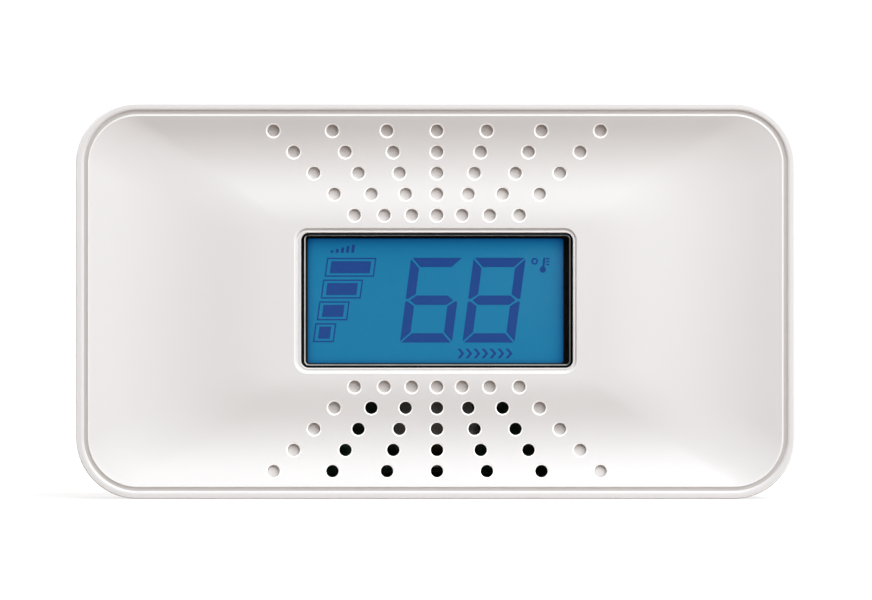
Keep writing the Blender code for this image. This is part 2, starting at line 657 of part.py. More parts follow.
def make_power_switch():
    """A slide switch on the board, worked from behind by a slider whose fork straddles the switch's lever."""
    lever_end = ON_BACK_Y + 8 * MM
    body_back = ON_BACK_Y + 5 * MM
    low = (SLIDER_X - 6 * MM, ON_BACK_Y, SLIDER_Z - 3 * MM)
    high = (SLIDER_X + 6 * MM, body_back, SLIDER_Z + 3 * MM)
    body = block("slide_switch_body", low, high, STEEL)
    low = (SLIDER_X - 4 * MM, body_back - 2 * MM, SLIDER_Z - 1.3 * MM)
    high = (SLIDER_X + 4 * MM, body_back + WALL, SLIDER_Z + 1.3 * MM)
    cut(body, cutter_block("slide_switch_slot", low, high))

    start_x = SLIDER_X + SLIDER_TRAVEL / 2
    low = (start_x - 1 * MM, body_back - 1.7 * MM, SLIDER_Z - 1 * MM)
    high = (start_x + 1 * MM, lever_end, SLIDER_Z + 1 * MM)
    block("slide_switch_lever", low, high, BLACK)

    pad_front = depth_y(CASE_DEPTH - 1.2 * MM) + GAP
    pad_back = depth_y(CASE_DEPTH) - 0.2 * MM
    origin = Vector((start_x, pad_back, SLIDER_Z))
    low = Vector((start_x - 6 * MM, pad_front, SLIDER_Z - 3.9 * MM)) - origin
    high = Vector((start_x + 6 * MM, pad_back, SLIDER_Z + 3.9 * MM)) - origin
    slider = add_part("power_slider", add_block(bmesh.new(), low, high, 1.2 * MM), BLACK, origin)
    stem = bmesh.new()
    low = (-2.6 * MM, lever_end - 2.4 * MM - pad_back, -1.5 * MM)
    add_block(stem, low, (2.6 * MM, pad_front - pad_back + 0.4 * MM, 1.5 * MM))
    stem_tool = add_cutter("slider_stem", stem, origin)
    join(slider, stem_tool)
    low = (start_x - 1.3 * MM, lever_end - 2 * WALL, SLIDER_Z - WALL)
    high = (start_x + 1.3 * MM, lever_end + GAP, SLIDER_Z + WALL)
    cut(slider, cutter_block("slider_fork", low, high))
    grooves = bmesh.new()
    for step in range(-2, 3):
        x = start_x + step * 1.8 * MM
        low = (x - 0.35 * MM, pad_back - 0.35 * MM, SLIDER_Z - 2.6 * MM)
        add_block(grooves, low, (x + 0.35 * MM, pad_back + WALL, SLIDER_Z + 2.6 * MM))
    cut(slider, add_cutter("slider_grooves", grooves))


def make_battery():
    """A sealed-in lithium cell in a cradle, with a welded tab and a lead at each end."""
    left = CELL_X - CELL_LENGTH / 2
    right = CELL_X + CELL_LENGTH / 2
    cell = rod("battery_cell", (left, CELL_Y, CELL_Z), (right, CELL_Y, CELL_Z), CELL_RADIUS, CELL_SLEEVE, 28)
    nose = right + 1.2 * MM
    join(cell, cutter_rod("cell_nose", (right - WALL, CELL_Y, CELL_Z), (nose, CELL_Y, CELL_Z), 3 * MM, 16))

    low = (CELL_X - 17 * MM, ON_BACK_Y, CELL_Z - 9.6 * MM)
    high = (CELL_X + 17 * MM, CELL_Y - 2 * MM, CELL_Z + 9.6 * MM)
    cradle = block("battery_cradle", low, high, GREY_ABS)
    ends = (left, CELL_Y, CELL_Z), (right, CELL_Y, CELL_Z)
    cut(cradle, cutter_rod("cradle_saddle", *ends, CELL_RADIUS + GAP, 28))

    sides = (
        ("positive", nose + LAYER_GAP, 1, "battery_lead_red", RED_WIRE),
        ("negative", left - LAYER_GAP, -1, "battery_lead_black", BLACK_WIRE),
    )
    for pole, face_x, side, lead, wire in sides:
        outer_x = face_x + side * 0.3 * MM
        low = (min(face_x, outer_x), CELL_Y - 6 * MM, CELL_Z - 2 * MM)
        high = (max(face_x, outer_x), CELL_Y + 2.5 * MM, CELL_Z + 2 * MM)
        block(f"battery_tab_{pole}", low, high, NICKEL)
        start = Vector((outer_x + side * 1.0 * MM, CELL_Y - 1 * MM, CELL_Z))
        end = Vector((outer_x + side * 3.5 * MM, ON_BACK_Y + 0.8 * MM, CELL_Z - 6 * MM))
        add_lead(lead, start, end, wire)


def add_lead(name, start, end, material):
    """A round insulated wire that bows from a welded tab down to the board."""
    count = 9
    curve = bpy.data.curves.new(name, "CURVE")
    curve.dimensions = "3D"
    curve.bevel_depth = 0.7 * MM
    curve.bevel_resolution = 2
    curve.use_fill_caps = True
    spline = curve.splines.new("POLY")
    spline.points.add(count - 1)
    for step, point in enumerate(spline.points):
        share = step / (count - 1)
        bow = math.sin(math.pi * share) * 2 * MM
        place = start.lerp(end, share) - start + Vector((0, 0, bow))
        point.co = (*place, 1)
    curve.materials.append(material)
    made = bpy.data.objects.new(name, curve)
    made.location = start
    PARTS.objects.link(made)


def make_sensor():
    """Electrochemical gas cell: a can, a charcoal filter disc in its mouth and a cap with a small inlet."""
    can_front = ON_BACK_Y
    can_back = ON_BACK_Y + 13 * MM
    can_ends = (SENSOR_X, can_front, SENSOR_Z), (SENSOR_X, can_back, SENSOR_Z)
    can = rod("sensor_can", *can_ends, SENSOR_RADIUS, SENSOR_METAL, 28)
    mouth = (SENSOR_X, can_back - 1.6 * MM, SENSOR_Z), (SENSOR_X, can_back + WALL, SENSOR_Z)
    cut(can, cutter_rod("sensor_mouth", *mouth, 7 * MM, 24))
    filter_ends = (SENSOR_X, can_back - 1.5 * MM, SENSOR_Z), (SENSOR_X, can_back - 0.2 * MM, SENSOR_Z)
    rod("sensor_filter", *filter_ends, 6.8 * MM, FILTER, 20)
    cap_front = can_back + LAYER_GAP
    cap_back = cap_front + 1.4 * MM
    ends = (SENSOR_X, cap_front, SENSOR_Z), (SENSOR_X, cap_back, SENSOR_Z)
    cap = rod("sensor_cap", *ends, 8.6 * MM, STEEL, 28)
    inlet = (SENSOR_X, cap_front - WALL, SENSOR_Z), (SENSOR_X, cap_back + WALL, SENSOR_Z)
    cut(cap, cutter_rod("sensor_inlet", *inlet, 1.5 * MM, 12))


def make_board_components():
    chip_x, chip_z = -22 * MM, 24 * MM
    low = (chip_x - 6 * MM, ON_BACK_Y, chip_z - 6 * MM)
    high = (chip_x + 6 * MM, ON_BACK_Y + 1.6 * MM, chip_z + 6 * MM)
    chip = block("microcontroller", low, high, CHIP)
    legs = bmesh.new()
    for step in range(6):
        offset = (step - 2.5) * 1.6 * MM
        for across in (True, False):
            reach, half = 7.2 * MM, 0.35 * MM
            x, z = (reach, half) if across else (half, reach)
            mid = (chip_x, chip_z + offset) if across else (chip_x + offset, chip_z)
            low = (mid[0] - x, ON_BACK_Y + 0.3 * MM, mid[1] - z)
            add_block(legs, low, (mid[0] + x, ON_BACK_Y + 0.7 * MM, mid[1] + z))
    join(chip, add_cutter("chip_legs", legs), overlapping=True)

    cap_x, cap_z = -46 * MM, 24 * MM
    ends = (cap_x, ON_BACK_Y, cap_z), (cap_x, ON_BACK_Y + 11 * MM, cap_z)
    rod("electrolytic_capacitor", *ends, 4 * MM, CAN_ALUMINIUM, 20)

    make_inductor(4 * MM, 26 * MM)

    low = (12 * MM, ON_BACK_Y, 10 * MM)
    header = block("programming_header", low, (22.2 * MM, ON_BACK_Y + 2.5 * MM, 12.5 * MM), BLACK)
    pins = bmesh.new()
    for step in range(4):
        x = 13.3 * MM + step * 2.54 * MM
        low = (x - 0.3 * MM, ON_BACK_Y + 1 * MM, 10.95 * MM)
        high = (x + 0.3 * MM, ON_BACK_Y + 8 * MM, 11.55 * MM)
        add_block(pins, low, high)
    join(header, add_cutter("header_pins", pins))

    bead_z = 11 * MM
    low = (-31 * MM, BOARD_FRONT_Y - GAP - 3.5 * MM, bead_z - 1 * MM)
    block("thermistor", low, (-29 * MM, BOARD_FRONT_Y - GAP, bead_z + 1 * MM), BEAD, 0.8 * MM, "Y", 3)


def make_inductor(x, z):
    """Step-up coil that drives the horn: a ferrite drum turned about the axis that stands off the board."""
    profile = ((0, 8), (5, 8), (5, 6.6), (3.9, 6.6), (3.9, 1.6), (5, 1.6), (5, 0), (0, 0))
    mesh = bpy.data.meshes.new("horn_inductor")
    points = [(radius * MM, 0, height * MM) for radius, height in profile]
    mesh.from_pydata(points, [(i, i + 1) for i in range(len(points) - 1)], [])
    mesh.materials.append(FERRITE)
    drum = bpy.data.objects.new("horn_inductor", mesh)
    drum.location = (x, ON_BACK_Y, z)
    drum.rotation_euler = (-math.pi / 2, 0, 0)
    PARTS.objects.link(drum)
    turn = drum.modifiers.new("turn", "SCREW")
    turn.axis = "Z"
    turn.steps = 20
    turn.render_steps = 20
    turn.use_merge_vertices = True
    turn.merge_threshold = 0.01 * MM


# ---------------------------------------------------------------- fasteners and label


def add_screw(name, x, z, seat_y, head_radius, head_height, shank_radius, length):
    """A pan-head screw put in from behind, with its origin under the head and a cross recess in it."""
    bm = add_rod(bmesh.new(), (0, 0, 0), (0, head_height, 0), head_radius, 16, head_radius * 0.82)
    screw = add_part(name, bm, STEEL, (x, seat_y, z))
    shank = add_rod(bmesh.new(), (0, -length, 0), (0, head_height / 2, 0), shank_radius, 10)
    join(screw, add_cutter(f"{name}_shank", shank, (x, seat_y, z)))
    recess = bmesh.new()
    long, short = head_radius * 0.6, head_radius * 0.15
    deep = head_height * 0.5
    add_block(recess, (-long, deep, -short), (long, 2 * head_height, short))
    add_block(recess, (-short, deep, -long), (short, 2 * head_height, long))
    cut(screw, add_cutter(f"{name}_recess", recess, (x, seat_y, z)), overlapping=True)


def make_fasteners():
    for number, (x, z) in enumerate(CASE_SCREW_XZ, 1):
        seat_y = depth_y(SCREW_SEAT_DEPTH) + GAP
        add_screw(f"case_screw_{number}", x, z, seat_y, 2.7 * MM, 2 * MM, 1.35 * MM, 12 * MM)
    for number, (x, z) in enumerate(BOARD_SCREW_XZ, 1):
        add_screw(f"board_screw_{number}", x, z, ON_BACK_Y, 2.3 * MM, 1.5 * MM, 1.1 * MM, 6 * MM)


def make_rear_label():
    size = (LABEL_SIZE[0] - 0.6 * MM, LABEL_SIZE[1] - 0.6 * MM)
    front = CASE_DEPTH - LABEL_POCKET + 0.3 * MM
    block("rear_label", *sheet_corners(size, front, 0.2 * MM, 0, LABEL_Z), LABEL_FILM, 1.8 * MM)


make_front_cover()
make_rear_cover()
make_display()
make_circuit_board()
make_horn()
make_test_button()
make_tact_switch()
make_power_switch()
make_battery()
make_sensor()
make_board_components()
make_fasteners()
make_rear_label()
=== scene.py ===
"""Looks of the carbon monoxide detector: fine covers, a lit display, materials, light and camera.

Metres, +Z up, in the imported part's frame. The face looks along -Y. "Depth" is a distance behind the
foremost plane of the case, and "inset" a distance inwards from its outline.
"""

import json
import math

import bmesh
import bpy
import numpy as np
from mathutils import Matrix, Vector


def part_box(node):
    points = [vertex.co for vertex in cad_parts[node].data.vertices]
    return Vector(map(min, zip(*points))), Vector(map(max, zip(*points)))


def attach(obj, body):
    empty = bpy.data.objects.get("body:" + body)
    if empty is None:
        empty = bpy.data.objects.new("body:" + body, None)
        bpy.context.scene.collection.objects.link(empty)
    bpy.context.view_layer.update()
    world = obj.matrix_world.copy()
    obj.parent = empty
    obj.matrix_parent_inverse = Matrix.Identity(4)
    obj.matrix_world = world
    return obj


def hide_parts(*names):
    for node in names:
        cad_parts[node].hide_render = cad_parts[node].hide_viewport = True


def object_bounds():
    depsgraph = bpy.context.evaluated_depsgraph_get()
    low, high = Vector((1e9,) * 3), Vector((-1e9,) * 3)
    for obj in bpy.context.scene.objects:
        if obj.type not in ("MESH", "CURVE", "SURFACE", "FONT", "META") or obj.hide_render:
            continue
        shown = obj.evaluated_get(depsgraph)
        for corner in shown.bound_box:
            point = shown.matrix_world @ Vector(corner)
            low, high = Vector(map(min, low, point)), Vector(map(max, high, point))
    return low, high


MM = 0.001
MICRON = 0.001 * MM

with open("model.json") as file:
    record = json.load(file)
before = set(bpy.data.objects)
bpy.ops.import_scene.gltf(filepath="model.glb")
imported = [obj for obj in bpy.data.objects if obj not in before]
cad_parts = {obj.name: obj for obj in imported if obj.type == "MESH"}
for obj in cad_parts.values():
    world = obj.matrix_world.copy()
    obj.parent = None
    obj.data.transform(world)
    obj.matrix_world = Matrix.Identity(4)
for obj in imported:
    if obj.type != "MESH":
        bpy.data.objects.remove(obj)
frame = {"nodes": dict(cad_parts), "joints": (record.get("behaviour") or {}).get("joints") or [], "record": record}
NODES = frame["nodes"]
CAD_LOW, CAD_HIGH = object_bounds()
HALF_WIDTH = (CAD_HIGH.x - CAD_LOW.x) / 2
HEIGHT = CAD_HIGH.z
MID_Z = HEIGHT / 2
FRONT_Y = CAD_LOW.y
BACK_Y = CAD_HIGH.y

# Case
CORNER_RADIUS = 13 * MM
WALL = 2.2 * MM
DRAFT = 0.03
FRONT_EDGE_RADIUS = 0.32 * MM
BACK_EDGE_RADIUS = 3 * MM
SPLIT_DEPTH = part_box("front_cover")[1].y - FRONT_Y
SEAM = 0.3 * MM
SEAM_EDGE = 0.25 * MM
CORNER_STEPS = 20

# Face: outlines as (half width, half height, corner radius), from the rim inwards
CASE = (HALF_WIDTH, HEIGHT / 2, CORNER_RADIUS)
RIM_DEPTH = 0.28 * MM
RIM_INSET = 2.8 * MM
RIM = tuple(value - RIM_INSET for value in CASE)
TROUGH = (54.5 * MM, 27.5 * MM, 8.5 * MM)
PLATEAU = (35 * MM, 16.2 * MM, 4 * MM)
FRAME = (29.9 * MM, 15.42 * MM, 2.75 * MM)
FRAME_WIDTH = 1.15 * MM
FRAME_SHIFT = -0.25 * MM  # the frame's outer edge is this far off the middle of the window, across
DISH_DROP = 2.65 * MM
DISH_STEEP_SHARE = 0.22  # the outer part of the dish, which falls at a constant slope
PLATEAU_RISE = 1.05 * MM
FACE_STEPS = 22

# Vents: a fan of rays from the middle of the window, above and below it
VENT_RAYS_DEG = (-43.85, -31.55, -16.35, 0, 16.35, 31.55, 43.85)
VENT_FIRST_ROW = 18.15 * MM
VENT_PITCH = 4.465 * MM
VENT_ROWS = 5
VENT_RADIUS = 1.31 * MM
VENT_MOUTH = 0.28 * MM
VENT_OPEN_WITHIN_DEG = 40
DIMPLE_DEPTH = 1.0 * MM
DIMPLE_FLOOR_RADIUS = 0.4 * MM
VENT_SEGMENTS = 28

# How much painted shade darkens the recesses and how much painted highlight brightens the edges, from 0 for the
# open case to 1
VENT_PAINTED_SHADE = 0.95
FRAME_PAINTED_SHADE = 0.2
CREST_PAINTED_HIGHLIGHT = 0.42
EDGE_PAINTED_HIGHLIGHT = 0.35

# Controls and back
BUTTON_FLANGE = 1.3 * MM
BUTTON_CLEARANCE = 0.3 * MM
PILL_ROUNDNESS = 0.98  # the radius of the button's ends, as a share of half its width
CASE_SCREWS = [f"case_screw_{number}" for number in range(1, 5)]
COLUMN_RADIUS = 4.2 * MM
COLUMN_FRONT = 24.3 * MM
COUNTERBORE_RADIUS = 3.0 * MM
COUNTERBORE_FLOOR = 27.5 * MM
SHANK_HOLE_RADIUS = 1.7 * MM
KEYHOLE_X = 38.1 * MM
KEYHOLE_Z = 66 * MM
KEYHOLE_HEAD_RADIUS = 4 * MM
KEYHOLE_NECK = (2 * MM, 4 * MM, 1.95 * MM)
AIR_SLOT = (8 * MM, 0.8 * MM, 0.78 * MM)
AIR_SLOT_X = 55 * MM
AIR_SLOT_ROWS_Z = [(33 + 4 * row) * MM for row in range(5)]

# Display
LCD_MID = Vector((0, 0, MID_Z))
DIGIT_HEIGHT = 18 * MM
DIGIT_WIDTH = 11.05 * MM
DIGIT_SLANT = 0.133
DIGIT_STROKE = 2.0 * MM
SEGMENT_GAP = 0.24 * MM
SEGMENT_THICKNESS = 0.05 * MM


def depth_y(depth):
    return FRONT_Y + depth


def middle(node):
    low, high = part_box(node)
    return (low + high) / 2


WINDOW = middle("display_lens")


def smoothstep(value, start=0.0, end=1.0):
    share = np.clip((value - start) / (end - start), 0, 1)
    return share * share * (3 - 2 * share)


# ------------------------ meshes

SHARP_DEG = 32


def outline(half_width, half_height, radius, steps=CORNER_STEPS):
    """Points round a rounded rectangle, as (across, up) about its middle."""
    points = []
    for corner, (side_x, side_z) in enumerate(((1, 1), (-1, 1), (-1, -1), (1, -1))):
        for step in range(steps + 1):
            angle = math.pi / 2 * (corner + step / steps)
            across = side_x * (half_width - radius) + radius * math.cos(angle)
            up = side_z * (half_height - radius) + radius * math.sin(angle)
            points.append((across, up))
    return points


def upright_ring(size, y, mid_x=0.0, mid_z=MID_Z, steps=CORNER_STEPS):
    """A rounded rectangle (half width, half height, radius) that faces along Y."""
    return [Vector((mid_x + across, y, mid_z + up)) for across, up in outline(*size, steps)]


def level_ring(size, z, mid_x=0.0, mid_y=0.0, steps=CORNER_STEPS):
    """A rounded rectangle that faces up."""
    return [Vector((mid_x + across, mid_y + up, z)) for across, up in outline(*size, steps)]


def circle(radius, y, x, z, steps=32):
    turn = 2 * math.pi / steps
    return [
        Vector((x + radius * math.cos(turn * i), y, z + radius * math.sin(turn * i)))
        for i in range(steps)
    ]


def skin(bm, rings, closed=False):
    """Skins a row of rings. A closed row joins its last ring to its first, others get two caps."""
    rows = [[bm.verts.new(point) for point in points] for points in rings]
    count = len(rows[0])
    pairs = list(zip(rows, rows[1:]))
    if closed:
        pairs.append((rows[-1], rows[0]))
    else:
        bm.faces.new(rows[0])
        bm.faces.new(rows[-1])
    for near, far in pairs:
        for i in range(count):
            j = (i + 1) % count
            bm.faces.new((near[i], near[j], far[j], far[i]))
    return bm


def block(bm, size, ends_y, mid_x, mid_z, steps):
    """A straight bar along Y, with a rounded-rectangle section."""
    return skin(bm, [upright_ring(size, y, mid_x, mid_z, steps) for y in ends_y])


def mouth_cutter(bm, size, outside_y, inside_y, chamfer, mid_x, mid_z, steps=8):
    """A rounded-rectangle hole with a chamfered mouth, in a wall whose surface is at outside_y."""
    out = math.copysign(1, outside_y - inside_y)
    wide = [value + 2 * chamfer for value in size]
    rings = (
        upright_ring(wide, outside_y + out * chamfer, mid_x, mid_z, steps),
        upright_ring(size, outside_y - out * chamfer, mid_x, mid_z, steps),
        upright_ring(size, inside_y, mid_x, mid_z, steps),
    )
    return skin(bm, rings)


def shade(piece):
    piece.data.shade_smooth()
    piece.data.set_sharp_from_angle(angle=math.radians(SHARP_DEG))


def new_object(name, bm):
    bmesh.ops.recalc_face_normals(bm, faces=bm.faces)
    mesh = bpy.data.meshes.new(name)
    bm.to_mesh(mesh)
    bm.free()
    made = bpy.data.objects.new(name, mesh)
    shade(made)
    bpy.context.scene.collection.objects.link(made)
    return made


def new_solid(name, rings):
    return new_object(name, skin(bmesh.new(), rings))


def boolean(target, bm, operation="DIFFERENCE"):
    """Cuts a bmesh's solids, which don't overlap one another, from the target, or joins them on."""
    tool = new_object("tool", bm)
    modifier = target.modifiers.new("tool", "BOOLEAN")
    modifier.operation = operation
    modifier.object = tool
    evaluated = target.evaluated_get(bpy.context.evaluated_depsgraph_get())
    result = bpy.data.meshes.new_from_object(evaluated)
    target.modifiers.remove(modifier)
    old = target.data
    target.data = result
    bpy.data.meshes.remove(old)
    bpy.data.objects.remove(tool)


def place(piece, material, slot, *nodes, body="case"):
    """Finishes a piece: its material, the CAD nodes that it replaces and the body that it rides."""
    piece.data.materials.clear()
    piece.data.materials.append(material)
    piece.data.name = piece.name
    if nodes:
        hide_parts(*nodes)
    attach(piece, body)


# ------------------------ material nodes


def new_material(name):
    material = bpy.data.materials.new(name)
    material.use_nodes = True
    tree = material.node_tree
    return material, tree, tree.nodes["Principled BSDF"]


def add_node(tree, kind, **settings):
    """Adds a node. Each setting is one of its inputs or one of its properties."""
    made = tree.nodes.new(kind)
    for key, value in settings.items():
        if key in made.inputs:
            made.inputs[key].default_value = value
        else:
            setattr(made, key, value)
    return made


def feed(tree, socket, value):
    """Links an input to another node's output, or sets it to a number or a colour."""
    if isinstance(value, bpy.types.NodeSocket):
        tree.links.new(value, socket)
    else:
        socket.default_value = (*value, 1) if isinstance(value, tuple) else value


def feed_all(tree, node, values):
    """Feeds several inputs of a node, by name or by number."""
    for key, value in values.items():
        feed(tree, node.inputs[key], value)


def maths(tree, operation, *values, clamp=False):
    """One step of arithmetic on outputs and numbers."""
    made = add_node(tree, "ShaderNodeMath", operation=operation, use_clamp=clamp)
    for socket, value in zip(made.inputs, values):
        feed(tree, socket, value)
    return made.outputs[0]


def multiply(tree, first, second):
    return maths(tree, "MULTIPLY", first, second)


def direction_match(tree, direction, output):
    """Dot product of an output with a direction."""
    made = add_node(tree, "ShaderNodeVectorMath", operation="DOT_PRODUCT")
    made.inputs[1].default_value = direction
    feed(tree, made.inputs[0], output)
    return made.outputs["Value"]


def object_coords(tree):
    return add_node(tree, "ShaderNodeTexCoord").outputs["Object"]


def noise(tree, scale, detail=2.0, stretch=(1, 1, 1)):
    """Noise in object space, so that its grain has a real size: scale is in cells per metre."""
    mapping = add_node(tree, "ShaderNodeMapping", Scale=stretch)
    texture = add_node(tree, "ShaderNodeTexNoise", Scale=scale, Detail=detail)
    feed(tree, mapping.inputs["Vector"], object_coords(tree))
    feed(tree, texture.inputs["Vector"], mapping.outputs["Vector"])
    return texture.outputs["Fac"]


def remap(tree, source, low, high, from_low=0.3, from_high=0.7, curve="LINEAR"):
    """Maps a range of an output to low..high. The default range is the one that noise keeps to."""
    made = add_node(tree, "ShaderNodeMapRange", interpolation_type=curve)
    ends = {"From Min": from_low, "From Max": from_high, "To Min": low, "To Max": high}
    feed_all(tree, made, {"Value": source, **ends})
    return made.outputs["Result"]


def mix_colour(tree, amount, first, second):
    mix = add_node(tree, "ShaderNodeMix", data_type="RGBA")
    feed_all(tree, mix, {"Factor": amount, 6: first, 7: second})
    return mix.outputs[2]


def add_bump(tree, shader, source, height):
    bump = add_node(tree, "ShaderNodeBump", Strength=1.0, Distance=height)
    feed(tree, bump.inputs["Height"], source)
    feed(tree, shader.inputs["Normal"], bump.outputs["Normal"])


def attribute(tree, name):
    return add_node(tree, "ShaderNodeAttribute", attribute_name=name).outputs["Fac"]


def edge_fade(tree, value, edge, reach, loss):
    """Rises from 1 - loss at an edge to 1, exponentially. The reach is negative below the edge."""
    fall = maths(tree, "EXPONENT", maths(tree, "MULTIPLY_ADD", value, -1 / reach, edge / reach))
    return maths(tree, "MULTIPLY_ADD", fall, -loss, 1.0, clamp=True)


def camera_only(tree, seen, lit):
    """A value that the camera sees as one thing and everything else as another."""
    path = add_node(tree, "ShaderNodeLightPath")
    return remap(tree, path.outputs["Is Camera Ray"], lit, seen, 0, 1)


# ------------------------ materials

# Surfaces with a fine grain: colour, range of roughness, grain in cells per metre and its height in
# micrometres, and what differs from an ordinary plastic
GRAINED = {
    "black_plastic": ((0.018, 0.018, 0.02), (0.38, 0.5), 3500, 4, {}),
    "matt_black": ((0.003, 0.003, 0.0035), (0.6, 0.7), 3500, 4, {"shine": 0.08}),
    "grey_plastic": ((0.26, 0.26, 0.27), (0.42, 0.55), 3500, 4, {}),
    "horn_grey": ((0.36, 0.335, 0.325), (0.5, 0.6), 3500, 4, {}),
    "led_plastic": ((0.82, 0.8, 0.6), (0.25, 0.35), 1500, 1, {}),
    "label_film": ((0.62, 0.62, 0.6), (0.3, 0.38), 1200, 1, {"tint": 0.02}),
    "light_guide": ((0.7, 0.82, 0.92), (0.08, 0.14), 800, 0.5, {"tint": 0.02}),
    "white_reflector": ((0.85, 0.85, 0.85), (0.2, 0.3), 900, 1, {"tint": 0.02}),
    "conductive_rubber": ((0.04, 0.04, 0.045), (0.7, 0.85), 3000, 8, {}),
    "foam": ((0.03, 0.03, 0.03), (0.85, 0.95), 2500, 80, {"tint": 0.3}),
    "charcoal_filter": ((0.02, 0.02, 0.02), (0.9, 0.98), 5000, 100, {"tint": 0.4}),
    "chip_epoxy": ((0.025, 0.025, 0.028), (0.5, 0.62), 5000, 6, {}),
    "bead_epoxy": ((0.09, 0.04, 0.025), (0.15, 0.25), 1500, 2, {}),
    "ferrite": ((0.07, 0.07, 0.08), (0.5, 0.68), 4000, 8, {}),
    "capacitor_can": ((0.1, 0.1, 0.14), (0.25, 0.35), 1200, 1, {}),
    "red_insulation": ((0.55, 0.02, 0.02), (0.3, 0.42), 2500, 2, {}),
    "black_insulation": ((0.015, 0.015, 0.015), (0.3, 0.42), 2500, 2, {}),
    "cell_sleeve": ((0.03, 0.09, 0.28), (0.2, 0.3), 600, 2, {"tint": 0.06, "stretch": (0.2, 1, 1)}),
    "dark_brass": ((0.09, 0.07, 0.04), (0.4, 0.5), 2500, 1, {"tint": 0.08, "metallic": 1.0}),
    "zinc_steel": ((0.6, 0.61, 0.62), (0.26, 0.38), 3000, 2, {"tint": 0.08, "metallic": 1.0}),
    "brass": ((0.72, 0.52, 0.22), (0.25, 0.36), 2500, 1,
              {"tint": 0.08, "metallic": 1.0, "stretch": (1, 1, 0.1)}),
    "nickel": ((0.66, 0.64, 0.6), (0.24, 0.34), 2500, 1,
               {"tint": 0.06, "metallic": 1.0, "stretch": (1, 1, 0.1)}),
    "sensor_metal": ((0.7, 0.7, 0.72), (0.22, 0.3), 2500, 1,
                     {"tint": 0.05, "metallic": 1.0, "stretch": (1, 0.1, 1)}),
}


def grained(
    name, colour, rough, grain, height, tint=0.04, metallic=0.0, stretch=(1, 1, 1), shine=0.5
):
    """A surface with fine grain, patchy gloss and a slight drift of colour."""
    material, tree, shader = new_material(name)
    drift = remap(tree, noise(tree, grain / 40, 3.0), 0, 1)
    darker = tuple(channel * (1 - tint) for channel in colour)
    patches = noise(tree, grain / 4, 2.0, stretch)
    feed_all(tree, shader, {
        "Base Color": mix_colour(tree, drift, colour, darker),
        "Roughness": remap(tree, patches, *rough),
        "Metallic": metallic,
        "Specular IOR Level": shine,
    })
    add_bump(tree, shader, noise(tree, grain, 2.0, stretch), height * MICRON)
    return material


def case_material():
    """Warm white ABS from a finely blasted mould, with painted shade in recesses and glowing painted highlights on
    edges.
    """
    material, tree, shader = new_material("white_case")
    drift = remap(tree, noise(tree, 25, 3.0), 0, 1)
    colour = mix_colour(tree, drift, (0.845, 0.82, 0.818), (0.83, 0.804, 0.804))
    # painted shade: recesses are darkened and warmed where shade falls
    colour = mix_colour(tree, attribute(tree, "painted_shade"), colour, (0.57, 0.53, 0.515))
    # painted highlight: edges get a lighter colour, and glow through the emission below
    colour = mix_colour(tree, attribute(tree, "painted_highlight"), colour, (0.93, 0.92, 0.91))
    feed_all(tree, shader, {
        "Base Color": colour,
        "Roughness": remap(tree, noise(tree, 900), 0.4, 0.5),
        "Specular IOR Level": 0.45,
        "Emission Color": (1.0, 0.99, 0.98),
        # the painted highlight glows as well, so it stays bright on the shaded side
        "Emission Strength": multiply(tree, attribute(tree, "painted_highlight"), 0.42),
    })
    add_bump(tree, shader, noise(tree, 4500, 3.0), 4 * MICRON)
    return material


def board_material():
    """Dark green solder mask over faint copper tracks."""
    material, tree, shader = new_material("solder_mask")
    turn = add_node(tree, "ShaderNodeMapping", Rotation=(math.pi / 2, 0, 0))
    feed(tree, turn.inputs["Vector"], object_coords(tree))
    tracks = add_node(tree, "ShaderNodeTexBrick", Scale=110.0)
    feed_all(tree, tracks, {
        "Vector": turn.outputs["Vector"],
        "Mortar Size": 0.06,
        "Color1": (0.012, 0.04, 0.022),
        "Color2": (0.014, 0.046, 0.026),
        "Mortar": (0.026, 0.075, 0.04),
    })
    feed(tree, shader.inputs["Base Color"], tracks.outputs["Color"])
    feed(tree, shader.inputs["Roughness"], remap(tree, noise(tree, 300), 0.3, 0.42))
    add_bump(tree, shader, tracks.outputs["Fac"], -20 * MICRON)
    return material


def backlit_material(name, colour):
    """The backlight through blue film. It dims towards the lit area's edges, blue the least."""
    material, tree, shader = new_material(name)
    axes = add_node(tree, "ShaderNodeSeparateXYZ")
    feed(tree, axes.inputs["Vector"], object_coords(tree))
    x, z = axes.outputs["X"], axes.outputs["Z"]
    half_x, half_z = 27.1 * MM, 13.2 * MM
    edges = (
        (z, MID_Z + half_z, -1.5 * MM, 0.72),
        (x, half_x, -1.05 * MM, 0.72),
        (x, -half_x, 0.6 * MM, 0.7),
        (z, MID_Z - half_z, 0.55 * MM, 0.55),
    )
    fade = remap(tree, noise(tree, 60, 2.0), 0.985, 1.015)
    for edge in edges:
        fade = multiply(tree, fade, edge_fade(tree, *edge))
    slower = maths(tree, "POWER", fade, 0.62)
    light = add_node(tree, "ShaderNodeCombineColor")
    for socket, share, value in zip(light.inputs, (fade, fade, slower), colour):
        feed(tree, socket, multiply(tree, share, value))
    feed_all(tree, shader, {
        "Base Color": (0.01, 0.02, 0.03),
        "Roughness": 0.35,
        "Specular IOR Level": 0.1,
        "Emission Color": light.outputs["Color"],
        "Emission Strength": 1.0,
    })
    return material


